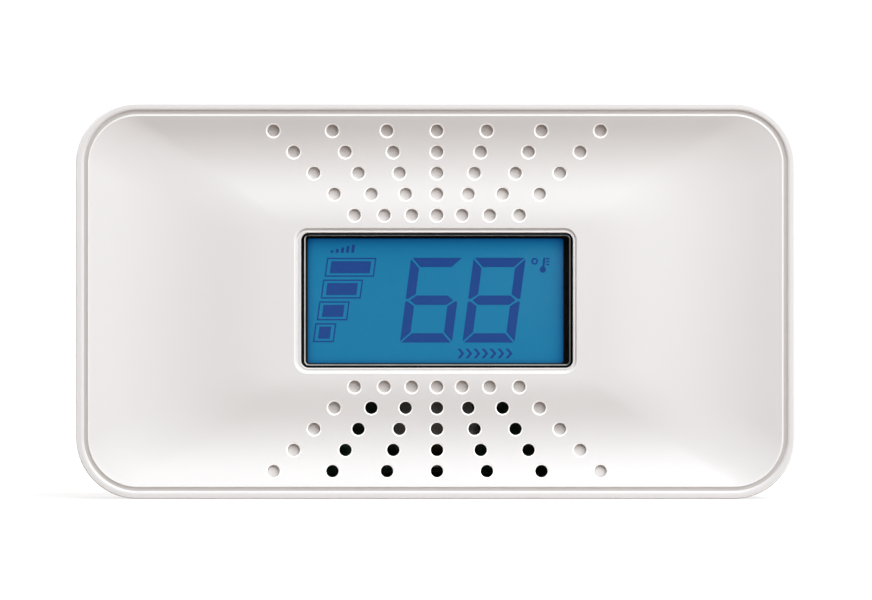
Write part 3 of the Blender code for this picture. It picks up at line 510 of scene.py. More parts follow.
def clear_material(name, tint, reflect, rough=0.02):
    """A thin clear sheet: light passes straight through, under a share of acrylic's reflection."""
    material, tree, shader = new_material(name)
    tree.nodes.remove(shader)
    through = add_node(tree, "ShaderNodeBsdfTransparent")
    feed(tree, through.inputs["Color"], tint)
    gloss = add_node(tree, "ShaderNodeBsdfGlossy")
    smudge = remap(tree, noise(tree, 180, 3.0), rough, rough + 0.03)
    feed(tree, gloss.inputs["Roughness"], smudge)
    fresnel = add_node(tree, "ShaderNodeFresnel", IOR=1.46)
    geometry = add_node(tree, "ShaderNodeNewGeometry")
    facing = maths(tree, "SUBTRACT", 1.0, geometry.outputs["Backfacing"])
    amount = multiply(tree, multiply(tree, fresnel.outputs["Fac"], facing), reflect)
    mix = add_node(tree, "ShaderNodeMixShader")
    feed_all(tree, mix, {"Fac": amount, 1: through.outputs["BSDF"], 2: gloss.outputs["BSDF"]})
    feed(tree, tree.nodes["Material Output"].inputs["Surface"], mix.outputs["Shader"])
    return material


def lens_glint_material():
    """Painted highlight on the lens's round edge: it glows where it faces the left and the bottom, where light
    from the upper right would leave it, and faintly where it faces the right.
    """
    material, tree, shader = new_material("lens_glint")
    normal = add_node(tree, "ShaderNodeNewGeometry").outputs["Normal"]
    main = remap(tree, direction_match(tree, (-0.95, 0, -0.62), normal), 0.04, 1.25, 0, 1)
    faint = remap(tree, direction_match(tree, (1, 0, 0), normal), 0, 0.22, 0, 1)
    streaks = remap(tree, noise(tree, 300, 2.0), 0.85, 1.1)
    feed_all(tree, shader, {
        "Base Color": (0.01, 0.01, 0.012),
        "Roughness": 0.08,
        "Emission Color": (0.62, 0.62, 0.58),
        "Emission Strength": multiply(tree, maths(tree, "ADD", main, faint), streaks),
    })
    return material


def make_materials():
    """Every material, by name. Most names are the record's slots."""
    made = {
        name: grained(name, colour, rough, grain, height, **extras)
        for name, (colour, rough, grain, height, extras) in GRAINED.items()
    }
    made["white_case"] = case_material()
    made["solder_mask"] = board_material()
    made["polariser_film"] = clear_material("polariser_film", (0.97, 0.98, 0.99), 0.0, 0.1)
    made["clear_lens"] = clear_material("clear_lens", (0.985, 0.99, 0.99), 0.2)
    made["lens_glint"] = lens_glint_material()
    made["lcd_backlit"] = backlit_material("lcd_backlit", (0.008, 0.196, 0.37))
    made["lcd_segments"] = backlit_material("lcd_segments", (0.0105, 0.05, 0.238))
    return made


# ------------------------ the face's shape


def blend(first, second, share):
    return [a + (b - a) * share for a, b in zip(first, second)]


def face_outline(where):
    """Outline at a place on the face: 0 is the rim, 1 the trough, 2 the edge of the flat."""
    outer = blend(RIM, TROUGH, np.minimum(where, 1))
    inner = blend(TROUGH, PLATEAU, np.maximum(where - 1, 0))
    return [np.where(np.asarray(where) < 1, a, b) for a, b in zip(outer, inner)]


def face_depth(where):
    """The face falls steadily from the rim, levels in the trough and rises gently to the flat."""
    where = np.asarray(where, float)
    fall = np.minimum(where, 1)
    levelling = 1 - DISH_STEEP_SHARE
    bend = np.maximum(fall - DISH_STEEP_SHARE, 0) ** 2 / (2 * levelling)
    drop = DISH_DROP * (fall - bend) / (1 - levelling / 2)
    rise = PLATEAU_RISE * (1 - np.cos(math.pi * np.clip(where - 1, 0, 1))) / 2
    return RIM_DEPTH + drop - rise


FLAT_DEPTH = float(face_depth(2))


def outline_distance(x, z, size, mid_x=0.0, mid_z=MID_Z):
    """Distance from a point to a rounded rectangle, below 0 inside it."""
    half_width, half_height, radius = size
    over_x = np.abs(x - mid_x) - half_width + radius
    over_z = np.abs(z - mid_z) - half_height + radius
    outside = np.hypot(np.maximum(over_x, 0), np.maximum(over_z, 0))
    return outside + np.minimum(np.maximum(over_x, over_z), 0) - radius


def frame_distance(x, z):
    return outline_distance(x, z, FRAME, WINDOW.x + FRAME_SHIFT, WINDOW.z)


def depth_at(x, z):
    """Depth of the face at points, by halving the range of places whose outline may reach each."""
    x, z = np.asarray(x, float), np.asarray(z, float)
    low = np.zeros(x.shape)
    high = np.full(x.shape, 2.0)
    for _ in range(40):
        halfway = (low + high) / 2
        inside = outline_distance(x, z, face_outline(halfway)) < 0
        low = np.where(inside, halfway, low)
        high = np.where(inside, high, halfway)
    return face_depth((low + high) / 2)


def face_normals(x, z):
    """Outward unit normals of the face at points."""
    reach = 0.05 * MM
    slope_x = (depth_at(x + reach, z) - depth_at(x - reach, z)) / (2 * reach)
    slope_z = (depth_at(x, z + reach) - depth_at(x, z - reach)) / (2 * reach)
    normals = np.stack([slope_x, -np.ones_like(slope_x), slope_z], axis=1)
    return normals / np.linalg.norm(normals, axis=1, keepdims=True)


def use_face_normals(piece):
    """Gives what lies on the dish its exact normals, so that vents don't disturb its shading."""
    mesh = piece.data
    x, y, z = np.array([vert.co for vert in mesh.vertices]).T
    corners = np.empty(len(mesh.loops), int)
    mesh.loops.foreach_get("vertex_index", corners)
    within = outline_distance(x, z, face_outline(0.02)) < 0
    outside_frame = frame_distance(x, z) > 0.02 * MM
    on_surface = np.abs(y - depth_y(depth_at(x, z))) < 0.03 * MM
    on_dish = within & outside_frame & on_surface
    exact = face_normals(x, z)
    normals = np.zeros((len(corners), 3))
    for polygon in mesh.polygons:
        loops = slice(polygon.loop_start, polygon.loop_start + polygon.loop_total)
        verts = corners[loops]
        if on_dish[verts].all() and np.dot(exact[verts[0]], polygon.normal) > 0.98:
            normals[loops] = exact[verts]
    mesh.normals_split_custom_set(normals)


def paint_shade_and_highlights(piece):
    """Marks the points that get the case material's painted shade, in recesses, or its painted highlight, on
    mouths, the crest and edges.
    """
    mesh = piece.data
    x, y, z = np.array([vert.co for vert in mesh.vertices]).T
    depth = y - FRONT_Y
    sink = depth - depth_at(x, z)
    inset = -outline_distance(x, z, CASE)
    to_frame = frame_distance(x, z)
    to_vent = np.full(len(x), np.inf)
    for vent_x, vent_z, _ in vent_places():
        to_vent = np.minimum(to_vent, np.hypot(x - vent_x, z - vent_z))
    in_vent = to_vent < VENT_RADIUS + 0.9 * VENT_MOUTH
    near_front = depth < 1.2 * MM

    # painted shade: the vents' bores, the groove and the frame's recess are darkened by depth, where shade falls
    painted_shade = in_vent * VENT_PAINTED_SHADE * smoothstep(sink, 0.2 * MM, 0.8 * MM)
    in_groove = near_front & (inset < RIM_INSET - 0.2 * MM)
    painted_shade = np.where(in_groove, smoothstep(depth, 0.29 * MM, 0.36 * MM), painted_shade)
    in_frame = (to_frame < -0.03 * MM) & (sink < 1.0 * MM)
    frame_shade = FRAME_PAINTED_SHADE * smoothstep(sink, 0.25 * MM, 0.4 * MM)
    painted_shade = np.where(in_frame, frame_shade, painted_shade)

    # painted highlights: the vents' rounded mouths, the dish's crest, the case's outer edge and the frame's edge
    outside_bore = to_vent > VENT_RADIUS - 0.01 * MM
    on_mouth = in_vent & outside_bore & (sink > -0.1 * MM) & (sink < VENT_MOUTH)
    on_crest = near_front & (inset > 2.57 * MM) & (inset < 2.75 * MM)
    on_edge = (depth < 0.3 * MM) & (inset < 0.3 * MM)
    on_frame = (np.abs(to_frame + 0.05 * MM) < 0.08 * MM) & (sink < 0.2 * MM)
    places = [on_mouth, on_crest, on_edge | on_frame]
    painted_highlight = np.select(places, [1.0, CREST_PAINTED_HIGHLIGHT, EDGE_PAINTED_HIGHLIGHT], 0.0)

    for name, values in (("painted_shade", painted_shade), ("painted_highlight", painted_highlight)):
        layer = mesh.attributes.new(name, "FLOAT", "POINT")
        layer.data.foreach_set("value", values.astype(np.float32))


# ------------------------ covers

# Section across the groove between the lip and the dish: (inset, depth) in mm
GROOVE_PROFILE = (
    (0.95, 0), (1.1, 0.01), (1.25, 0.035), (1.36, 0.075), (1.45, 0.125), (1.53, 0.19),
    (1.6, 0.27), (1.66, 0.33), (1.75, 0.36), (2.22, 0.375), (2.34, 0.36), (2.43, 0.315),
    (2.52, 0.265), (2.61, 0.243), (2.7, 0.25),
)

# Section of the window's frame, a shallow groove and a bead: (inset, sink below the flat) in mm
FRAME_PROFILE = (
    (-0.12, 0), (0, 0), (0.08, 0.03), (0.18, 0.1), (0.3, 0.21), (0.42, 0.32), (0.52, 0.4),
    (0.62, 0.43), (0.74, 0.41), (0.84, 0.37), (0.92, 0.35), (0.99, 0.35), (1.05, 0.38),
    (1.11, 0.44), (1.15, 0.55),
)

# Rounded mouth of a vent, from above the surface down into the bore, in shares of its width
MOUTH_PROFILE = ((1.5, -0.3), (1, 0), (0.82, 0.1), (0.55, 0.3), (0.3, 0.53), (0.1, 0.8), (0, 1.1))


def rounded_edge(radius, steps=8):
    """(inset, depth) points from the side wall round to the front plane."""
    for step in range(steps + 1):
        angle = math.pi / 2 * step / steps
        yield radius * (1 - math.cos(angle)), radius * (1 - math.sin(angle))


def wall_ring(inset, depth):
    """A ring inside the outer wall. The base is level, the top and the sides lean by the draft."""
    lean = DRAFT * max(depth - FRONT_EDGE_RADIUS, 0)
    mid_z = (HEIGHT - lean) / 2
    size = (HALF_WIDTH - inset - lean, mid_z - inset, CORNER_RADIUS - inset)
    return upright_ring(size, depth_y(depth), 0, mid_z)


def face_ring(where, behind=0.0):
    """The face's ring at a place, or a ring behind it."""
    size = [float(value) for value in face_outline(where)]
    return upright_ring(size, depth_y(float(face_depth(where)) + behind))


def frame_ring(inset, depth):
    size = [value - inset for value in FRAME]
    mid_x = WINDOW.x + FRAME_SHIFT * (1 - inset / FRAME_WIDTH)
    return upright_ring(size, depth_y(depth), mid_x, WINDOW.z)


def front_rings():
    """Once round the section: seam edge, side wall, lip, groove, dish, frame, and back inside."""
    places = [step / FACE_STEPS for step in range(2 * FACE_STEPS + 1)]
    rings = [wall_ring(SEAM_EDGE, SPLIT_DEPTH), wall_ring(0, SPLIT_DEPTH - SEAM_EDGE)]
    rings += [wall_ring(*point) for point in rounded_edge(FRONT_EDGE_RADIUS)]
    rings += [wall_ring(inset * MM, depth * MM) for inset, depth in GROOVE_PROFILE]
    rings += [face_ring(where) for where in places]
    rings += [frame_ring(inset * MM, FLAT_DEPTH + sink * MM) for inset, sink in FRAME_PROFILE]
    rings.append(frame_ring(FRAME_WIDTH, FLAT_DEPTH + WALL))
    rings += [face_ring(where, WALL) for where in places[:0:-4]]
    rings += [
        wall_ring(3.4 * MM, 3.0 * MM),
        wall_ring(WALL, 3.6 * MM),
        wall_ring(WALL, SPLIT_DEPTH - WALL),
        wall_ring(WALL / 2, SPLIT_DEPTH - WALL),
        wall_ring(WALL / 2, SPLIT_DEPTH),
    ]
    return rings


def vent_places():
    """(x, z, open) of each hole of both fans."""
    for side in (1, -1):
        for row in range(VENT_ROWS):
            rise = VENT_FIRST_ROW + row * VENT_PITCH
            for angle in VENT_RAYS_DEG:
                is_open = side < 0 and row > 0 and abs(angle) < VENT_OPEN_WITHIN_DEG
                yield WINDOW.x + rise * math.tan(math.radians(angle)), MID_Z + side * rise, is_open


def vent_profile(is_open):
    """(radius, sink) points of a hole with a rounded mouth, and of a blind one's rounded floor."""
    points = [(VENT_RADIUS + out * VENT_MOUTH, sink * VENT_MOUTH) for out, sink in MOUTH_PROFILE]
    if is_open:
        return points + [(VENT_RADIUS, 1.6 * WALL)]
    for turn_deg in (0, 30, 60, 90):
        angle = math.radians(turn_deg)
        inset = DIMPLE_FLOOR_RADIUS * (1 - math.cos(angle))
        rise = DIMPLE_FLOOR_RADIUS * (1 - math.sin(angle))
        points.append((VENT_RADIUS - inset, DIMPLE_DEPTH - rise))
    return points


def cut_vents(cover):
    """Each cutter's rings follow the dish, so that the rounded mouth is even all the way round."""
    bm = bmesh.new()
    for mid_x, mid_z, is_open in vent_places():
        rings = []
        for radius, sink in vent_profile(is_open):
            points = circle(radius, 0, mid_x, mid_z, VENT_SEGMENTS)
            depths = depth_at([p.x for p in points], [p.z for p in points])
            rings.append([Vector((p.x, depth_y(d + sink), p.z)) for p, d in zip(points, depths)])
        skin(bm, rings)
    boolean(cover, bm)


def button_shape():
    """(half width, half depth, middle depth) of the test button's cap, without its flange."""
    low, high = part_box("test_button")
    half_x = (high.x - low.x) / 2 - BUTTON_FLANGE
    half_y = (high.y - low.y) / 2 - BUTTON_FLANGE
    return half_x, half_y, (low.y + high.y) / 2


def cut_button_opening(cover):
    """A pill-shaped hole whose chamfer follows the slope of the top wall."""
    half_x, half_y, mid_y = button_shape()
    half_x += BUTTON_CLEARANCE
    half_y += BUTTON_CLEARANCE
    chamfer = 0.35 * MM
    top = HEIGHT - DRAFT * (mid_y - FRONT_Y - FRONT_EDGE_RADIUS)
    rings = []
    for grow, sink in ((2 * chamfer, -chamfer), (0, chamfer), (0, 2 * WALL)):
        size = (half_x + grow, half_y + grow, half_y * PILL_ROUNDNESS + grow)
        ring = level_ring(size, 0, 0, mid_y, 16)
        rings.append([Vector((p.x, p.y, top - DRAFT * (p.y - mid_y) - sink)) for p in ring])
    boolean(cover, skin(bmesh.new(), rings))


def make_front_cover(material):
    cover = new_object("front_cover_fine", skin(bmesh.new(), front_rings(), closed=True))
    cut_vents(cover)
    cut_button_opening(cover)
    shade(cover)
    paint_shade_and_highlights(cover)
    use_face_normals(cover)
    place(cover, material, "white_case", "front_cover")


def make_rear_cover(material):
    """A tray whose tongue enters the front cover."""
    tongue = WALL / 2 + 0.15 * MM
    depth = BACK_Y - FRONT_Y
    profile = [
        (tongue, SPLIT_DEPTH - WALL + SEAM),
        (tongue, SPLIT_DEPTH + SEAM),
        (SEAM_EDGE, SPLIT_DEPTH + SEAM),
        (0, SPLIT_DEPTH + SEAM + SEAM_EDGE),
    ]
    profile += [(inset, depth - rest) for inset, rest in rounded_edge(BACK_EDGE_RADIUS, 10)]
    inside = (
        (4.2 * MM, depth - WALL),
        (WALL + 0.5 * MM, depth - WALL - 1 * MM),
        (WALL + 0.1 * MM, depth - WALL - 2.5 * MM),
        (WALL + 0.1 * MM, SPLIT_DEPTH - WALL + SEAM),
    )
    outer = [wall_ring(*point) for point in profile]
    inner = [wall_ring(*point) for point in inside]
    cover = new_solid("rear_cover_fine", outer[::-1] + inner[::-1])
    add_rear_bosses(cover)
    cut_rear_openings(cover)
    shade(cover)
    place(cover, material, "white_case", "rear_cover")


def add_rear_bosses(cover):
    """Columns for the case screws and blocks behind the keyholes."""
    bm = bmesh.new()
    inside_wall = BACK_Y - WALL / 2
    for node in CASE_SCREWS:
        at = middle(node)
        ends = (depth_y(COLUMN_FRONT), inside_wall)
        skin(bm, [circle(COLUMN_RADIUS, y, at.x, at.z) for y in ends])
    for side in (-1, 1):
        size = (7 * MM, 8 * MM, 1.5 * MM)
        block(bm, size, (BACK_Y - 6.7 * MM, inside_wall), side * KEYHOLE_X, KEYHOLE_Z, 6)
    boolean(cover, bm, "UNION")


def cut_rear_openings(cover):
    """Screw counterbores, keyholes, air slots, the slider's well and slot, and the label's pocket.

    What breaks into another opening waits for the second or the third cut.
    """
    deep = BACK_Y - 1.6 * WALL
    first, second, third = bmesh.new(), bmesh.new(), bmesh.new()
    for node in CASE_SCREWS:
        at = middle(node)
        bore = (COUNTERBORE_RADIUS,) * 3
        mouth_cutter(first, bore, BACK_Y, depth_y(COUNTERBORE_FLOOR), 0.3 * MM, at.x, at.z, 10)
        ends = (COLUMN_FRONT - WALL, COUNTERBORE_FLOOR + 0.5 * MM)
        skin(second, [circle(SHANK_HOLE_RADIUS, depth_y(d), at.x, at.z) for d in ends])
    for side in (-1, 1):
        x = side * KEYHOLE_X
        head = (KEYHOLE_HEAD_RADIUS,) * 3
        mouth_cutter(first, head, BACK_Y, deep, 0.3 * MM, x, KEYHOLE_Z - 3 * MM, 10)
        mouth_cutter(second, KEYHOLE_NECK, BACK_Y, deep, 0.2 * MM, x, KEYHOLE_Z + 1 * MM)
        room = (5 * MM, 6.75 * MM, 0.5 * MM)
        block(third, room, (BACK_Y - WALL - 3.3 * MM, BACK_Y - WALL), x, KEYHOLE_Z - 0.25 * MM, 4)
        for z in AIR_SLOT_ROWS_Z:
            mouth_cutter(first, AIR_SLOT, BACK_Y, deep, 0.25 * MM, side * AIR_SLOT_X, z)
    low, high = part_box("rear_label")
    label = middle("rear_label")
    pocket = ((high.x - low.x) / 2 + 0.3 * MM, (high.z - low.z) / 2 + 0.3 * MM, 2 * MM)
    mouth_cutter(first, pocket, BACK_Y, BACK_Y - 0.6 * MM, 0.15 * MM, label.x, label.z)
    slider = slider_well()
    well = (9 * MM, 4.5 * MM, 1.5 * MM)
    mouth_cutter(first, well, BACK_Y, BACK_Y - 1.2 * MM, 0.3 * MM, slider.x, slider.z)
    slot = (5.2 * MM, 1.8 * MM, 0.3 * MM)
    block(second, slot, (deep, BACK_Y - 0.6 * MM), slider.x, slider.z, 4)
    for cut in (first, second, third):
        boolean(cover, cut)


def slider_well():
    """Middle of the slider's well: the slider rests at one end of its travel."""
    joints = {joint["name"]: joint for joint in frame["joints"]}
    travel = joints["power_slide"]["range_m"][1]
    return middle("power_slider") - Vector((travel / 2, 0, 0))


# ------------------------ controls, screws and label


def make_test_button(material):
    """A pill-shaped cap with a shallow hollow for a fingertip, over its flange and rib."""
    low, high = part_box("test_button")
    half_x, half_y, mid_y = button_shape()
    radius = half_y * PILL_ROUNDNESS
    top = high.z
    edge = 0.45 * MM
    flange_top = top - 2.9 * MM
    flange_bottom = flange_top - 1.2 * MM
    flange = (half_x + BUTTON_FLANGE, half_y + BUTTON_FLANGE, 2 * MM)
    levels = [(flange, flange_bottom), (flange, flange_top), ((half_x, half_y, radius), flange_top)]
    for inset, from_top in rounded_edge(edge, 6):
        levels.append(((half_x - inset, half_y - inset, radius - inset), top - from_top))
    for step in range(1, 10):
        share = step / 10
        inset = edge + (half_y - edge) * share
        hollow = 0.45 * MM * smoothstep(share * 1.25)
        size = (half_x - inset, half_y - inset, max(radius - inset, 0.05 * MM))
        levels.append((size, top - hollow))
    rings = [level_ring(size, z, 0, mid_y, 16) for size, z in levels]
    button = new_solid("test_button_fine", rings)
    rib = (1.6 * MM, 1.6 * MM, 0.2 * MM)
    ends = (low.z, flange_bottom + 0.6 * MM)
    boolean(button, skin(bmesh.new(), [level_ring(rib, z, 0, mid_y, 3) for z in ends]), "UNION")
    shade(button)
    place(button, material, "white_case", "test_button", body="button")


def make_power_slider(material):
    """A soft-edged cap with raised grip bars, on a forked stem that reaches the switch."""
    low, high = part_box("power_slider")
    mid = middle("power_slider")
    half_x, half_z = (high.x - low.x) / 2, (high.z - low.z) / 2
    radius = 1.2 * MM
    pad_top = high.y - 0.4 * MM
    pad_front = BACK_Y - 0.9 * MM
    rings = [upright_ring((half_x, half_z, radius), pad_front, mid.x, mid.z, 8)]
    for inset, from_top in rounded_edge(0.3 * MM, 5):
        size = (half_x - inset, half_z - inset, radius - inset)
        rings.append(upright_ring(size, pad_top - from_top, mid.x, mid.z, 8))
    slider = new_solid("power_slider_fine", rings)

    bars = bmesh.new()
    bar_section = ((0.55, -0.2), (0.5, 0.05), (0.38, 0.28), (0.18, 0.4))  # (half width, rise) in mm
    for step in range(-2, 3):
        bar_x = mid.x + step * 1.8 * MM
        bar_rings = []
        for half, rise in bar_section:
            size = (half * MM, (2.3 + half) * MM, half * MM * 0.95)
            bar_rings.append(upright_ring(size, pad_top + rise * MM, bar_x, mid.z, 5))
        skin(bars, bar_rings)
    boolean(slider, bars, "UNION")

    stem = (2.6 * MM, 1.5 * MM, 0.3 * MM)
    stem_ends = (low.y, pad_front + 0.3 * MM)
    boolean(slider, block(bmesh.new(), stem, stem_ends, mid.x, mid.z, 3), "UNION")
    lever_low, lever_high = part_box("slide_switch_lever")
    fork = ((lever_high.x - lever_low.x) / 2 + 0.3 * MM, 2.2 * MM, 0.2 * MM)
    fork_ends = (low.y - 1 * MM, lever_high.y + 0.3 * MM)
    boolean(slider, block(bmesh.new(), fork, fork_ends, mid.x, mid.z, 2))
    shade(slider)
    place(slider, material, "black_plastic", "power_slider", body="slider")


def make_case_screw(node, material):
    """A pan head with a domed top and a cross recess, on a plain shank with a pointed tip."""
    low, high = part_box(node)
    at = middle(node)
    radius = (high.x - low.x) / 2
    shank = 1.35 * MM
    seat = high.y - 2 * MM
    dome = high.y - 1.1 * MM
    tip = (0.25 * MM, low.y)
    profile = [tip, (shank, low.y + 1.2 * MM), (shank, seat), (radius, seat), (radius, dome)]
    for step in range(1, 8):
        angle = math.radians(12 * step)
        profile.append((radius * math.cos(angle), dome + (high.y - dome) * math.sin(angle)))
    rings = [circle(r, y, at.x, at.z) for r, y in profile]
    screw = new_solid(f"{node}_fine", rings)
    first_turn = math.radians(20 + 37 * int(node[-1]))  # each screw stopped at its own angle
    long, short = radius * 0.62, radius * 0.13
    for turn in (first_turn, first_turn + math.pi / 2):
        bar_ends = ((0.75, -1.1 * MM), (1.1, 0.1 * MM))
        rings = [upright_ring((long * k, short * k, 0.05 * MM), y, 0, 0, 2) for k, y in bar_ends]
        bar = skin(bmesh.new(), rings)
        to_head = Matrix.Translation((at.x, high.y, at.z)) @ Matrix.Rotation(turn, 4, "Y")
        bmesh.ops.transform(bar, matrix=to_head, verts=bar.verts)
        boolean(screw, bar)
    shade(screw)
    place(screw, material, "zinc_steel", node)


def make_rear_label(material):
    """A blank film with round corners, stuck in its pocket."""
    low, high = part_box("rear_label")
    mid = middle("rear_label")
    edge = 0.06 * MM
    size = ((high.x - low.x) / 2, (high.z - low.z) / 2, 1.8 * MM)
    small = [value - edge for value in size]
    levels = ((size, low.y), (size, high.y - edge), (small, high.y))
    rings = [upright_ring(outer, y, mid.x, mid.z, 8) for outer, y in levels]
    label = new_solid("rear_label_fine", rings)
    place(label, material, "label_film", "rear_label")


# ------------------------ display


def make_lens(material, glint_material):
    """A clear stepped block. Its round edges have their own material, a painted highlight."""
    low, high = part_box("display_lens")
    mid = WINDOW + Vector((0.1 * MM, 0, 0.1 * MM))
    pane = (28.15 * MM, 13.85 * MM, 1.0 * MM)
    flange = ((high.x - low.x) / 2 - 0.1 * MM, (high.z - low.z) / 2 - 0.1 * MM, 1.2 * MM)
    step_y = high.y - 1 * MM
    levels = [(flange, high.y), (flange, step_y), (pane, step_y)]
    for inset, sink in rounded_edge(0.38 * MM, 5):
        levels.append(([value - inset for value in pane], low.y + sink))
    rings = [upright_ring(size, y, mid.x, mid.z) for size, y in levels]
    lens = new_solid("display_lens_fine", rings)
    place(lens, material, "clear_lens", "display_lens")
    lens.data.materials.append(glint_material)
    for polygon in lens.data.polygons:
        sideways = 1 - abs(polygon.normal.y)
        if polygon.center.y < step_y and 0.02 < sideways < 0.98:
            polygon.material_index = 1


# Segments lit for each digit
SEGMENTS = {
    "6": ("top", "upper_left", "middle", "lower_left", "lower_right", "bottom"),
    "8": ("top", "upper_left", "upper_right", "middle", "lower_left", "lower_right", "bottom"),
}


def flip(shape, across, up):
    return [(x * across, z * up) for x, z in shape]


def segment_shapes():
    """Each segment's outline in an upright box of the digit's size, about its middle."""
    w, h, t, g = DIGIT_WIDTH / 2, DIGIT_HEIGHT / 2, DIGIT_STROKE, SEGMENT_GAP
    half = t / 2
    top = [(-w + g, h), (w - g, h), (w - t - g, h - t), (-w + t + g, h - t)]
    inner = [(-w + t, h - t - g), (-w + t, half + g)]
    upper_left = [(-w, h - g), *inner, (-w + 0.25 * t, g), (-w, 1.3 * g)]
    middle_left = [(-w + t + g, -half), (-w + 0.45 * t, 0), (-w + t + g, half)]
    return {
        "top": top,
        "upper_left": upper_left,
        "upper_right": flip(upper_left, -1, 1),
        "middle": middle_left + flip(middle_left, -1, -1),
        "lower_left": flip(upper_left, 1, -1),
        "lower_right": flip(upper_left, -1, -1),
        "bottom": flip(top, 1, -1),
    }


def lcd_ring(shape, y):
    """A printed outline, given about the middle of the lit area."""
    return [Vector((LCD_MID.x + x, y, LCD_MID.z + z)) for x, z in shape]


def lcd_plate(bm, shape, front_y):
    skin(bm, [lcd_ring(shape, front_y), lcd_ring(shape, front_y + SEGMENT_THICKNESS)])


def lcd_frame(bm, outer, inner, front_y):
    """A plate with a hole: both outlines have the same number of points."""
    back_y = front_y + SEGMENT_THICKNESS
    section = ((outer, front_y), (outer, back_y), (inner, back_y), (inner, front_y))
    skin(bm, [lcd_ring(*corner) for corner in section], closed=True)


def slanted_box(left, right, low, high):
    """A parallelogram given its lower edge's ends, its height range and the display's slant."""
    lean = (high - low) * DIGIT_SLANT
    return [(left, low), (right, low), (right + lean, high), (left + lean, high)]


def shrink_box(box, by_x, by_z):
    """A smaller box of the same slant, this far inside a slanted box."""
    (left, low), (right, _), _, (_, high) = box
    lean = by_z * DIGIT_SLANT
    return slanted_box(left + by_x + lean, right - by_x + lean, low + by_z, high - by_z)


def round_shape(radius, x, z):
    return [(point.x, point.z) for point in circle(radius, 0, x, z, 24)]


def make_digits(material, front_y):
    bm = bmesh.new()
    shapes = segment_shapes()
    middle_z = 0.16 * MM
    for digit, middle_x in (("6", -0.85 * MM), ("8", 12.4 * MM)):
        for name in SEGMENTS[digit]:
            shape = [(middle_x + x + z * DIGIT_SLANT, middle_z + z) for x, z in shapes[name]]
            lcd_plate(bm, shape, front_y)
    place(new_object("lcd_digits", bm), material, "display_glass")


def make_level_bars(material, front_y):
    """Four slanted boxes that widen upwards, each holding a filled bar."""
    bm = bmesh.new()
    line = 0.32 * MM
    margin = (1.0 * MM, 0.74 * MM)
    height = 4.06 * MM
    pitch = 4.62 * MM
    for row in range(4):
        low = row * pitch - 8.75 * MM
        left = row * pitch * 0.18 - 26.03 * MM
        width = (4.5 + 2.0 * row) * MM
        box = slanted_box(left, left + width, low, low + height)
        lcd_frame(bm, box, shrink_box(box, line, line), front_y)
        lcd_plate(bm, shrink_box(box, *margin), front_y)
    place(new_object("lcd_level_bars", bm), material, "display_glass")


def add_rising_bars(bm, front_y):
    low = 10.2 * MM
    for step in range(5):
        left = (-22.3 + 1.1 * step) * MM
        bar = slanted_box(left, left + 0.62 * MM, low, low + (0.55 + 0.29 * step) * MM)
        lcd_plate(bm, bar, front_y)


def add_thermometer(bm, front_y):
    """A degree ring, and a bulb with a stem and three marks."""
    degree_x, degree_z = 21.0 * MM, 8.4 * MM
    outer, inner = [round_shape(radius * MM, degree_x, degree_z) for radius in (0.72, 0.36)]
    lcd_frame(bm, outer, inner, front_y)
    x, z = 22.75 * MM, 6.65 * MM
    lcd_plate(bm, round_shape(0.68 * MM, x, z), front_y)
    stem = slanted_box(x - 0.16 * MM, x + 0.32 * MM, z + 0.5 * MM, z + 2.5 * MM)
    lcd_plate(bm, stem, front_y)
    for step in range(3):
        low = z + (0.9 + 0.62 * step) * MM
        mark = slanted_box(x + 0.68 * MM, x + 1.35 * MM, low, low + 0.34 * MM)
        lcd_plate(bm, mark, front_y)


def add_chevrons(bm, front_y):
    low, high = -12.15 * MM, -10.1 * MM
    mid_z = (low + high) / 2
    stroke, reach = 0.68 * MM, 0.85 * MM
    for step in range(7):
        x = (4.6 + 1.7 * step) * MM
        tip = x + reach
        near = [(x, low), (x + stroke, low), (tip + stroke, mid_z)]
        far = [(x + stroke, high), (x, high), (tip, mid_z)]
        lcd_plate(bm, near + far, front_y)


def make_symbols(material, front_y):
    bm = bmesh.new()
    add_rising_bars(bm, front_y)
    add_thermometer(bm, front_y)
    add_chevrons(bm, front_y)
    place(new_object("lcd_symbols", bm), material, "display_glass")


# ------------------------ pieces that stay as in the CAD


def dress_nodes(materials, special):
    """Soft edges and a material for each CAD node that stays: its slot's, or the one in special."""
    slots = {row["node"]: row["material_slot"] for row in frame["record"]["subparts"]}
    for name, node in NODES.items():
        if node.hide_render:
            continue
        node.data.materials.clear()
        node.data.materials.append(materials[special.get(name, slots[name])])
        weld = node.modifiers.new("weld", "WELD")
        weld.merge_threshold = 1 * MICRON
        edges = node.modifiers.new("edges", "BEVEL")
        edges.limit_method = "ANGLE"
        edges.angle_limit = math.radians(50)
        is_sheet = min(node.dimensions) < 0.5 * MM
        edges.width = 0.04 * MM if is_sheet else 0.12 * MM
        edges.segments = 2
        edges.harden_normals = True
        node.data.shade_smooth()


# ------------------------ stage

CAMERA_DISTANCE = 2.4
VIEW_WIDTH = 184.3 * MM
SENSOR_WIDTH = 36.0


def make_camera():
    """A long lens straight in front, level with the middle of the case."""
    data = bpy.data.cameras.new("camera")
    data.sensor_width = SENSOR_WIDTH
    data.lens = SENSOR_WIDTH * CAMERA_DISTANCE / VIEW_WIDTH
    data.clip_end = 20
    camera = bpy.data.objects.new("camera", data)
    camera.location = (0.1 * MM, FRONT_Y - CAMERA_DISTANCE, MID_Z + 0.2 * MM)
    camera.rotation_euler = (math.pi / 2, 0, 0)
    bpy.context.scene.collection.objects.link(camera)
    bpy.context.scene.camera = camera


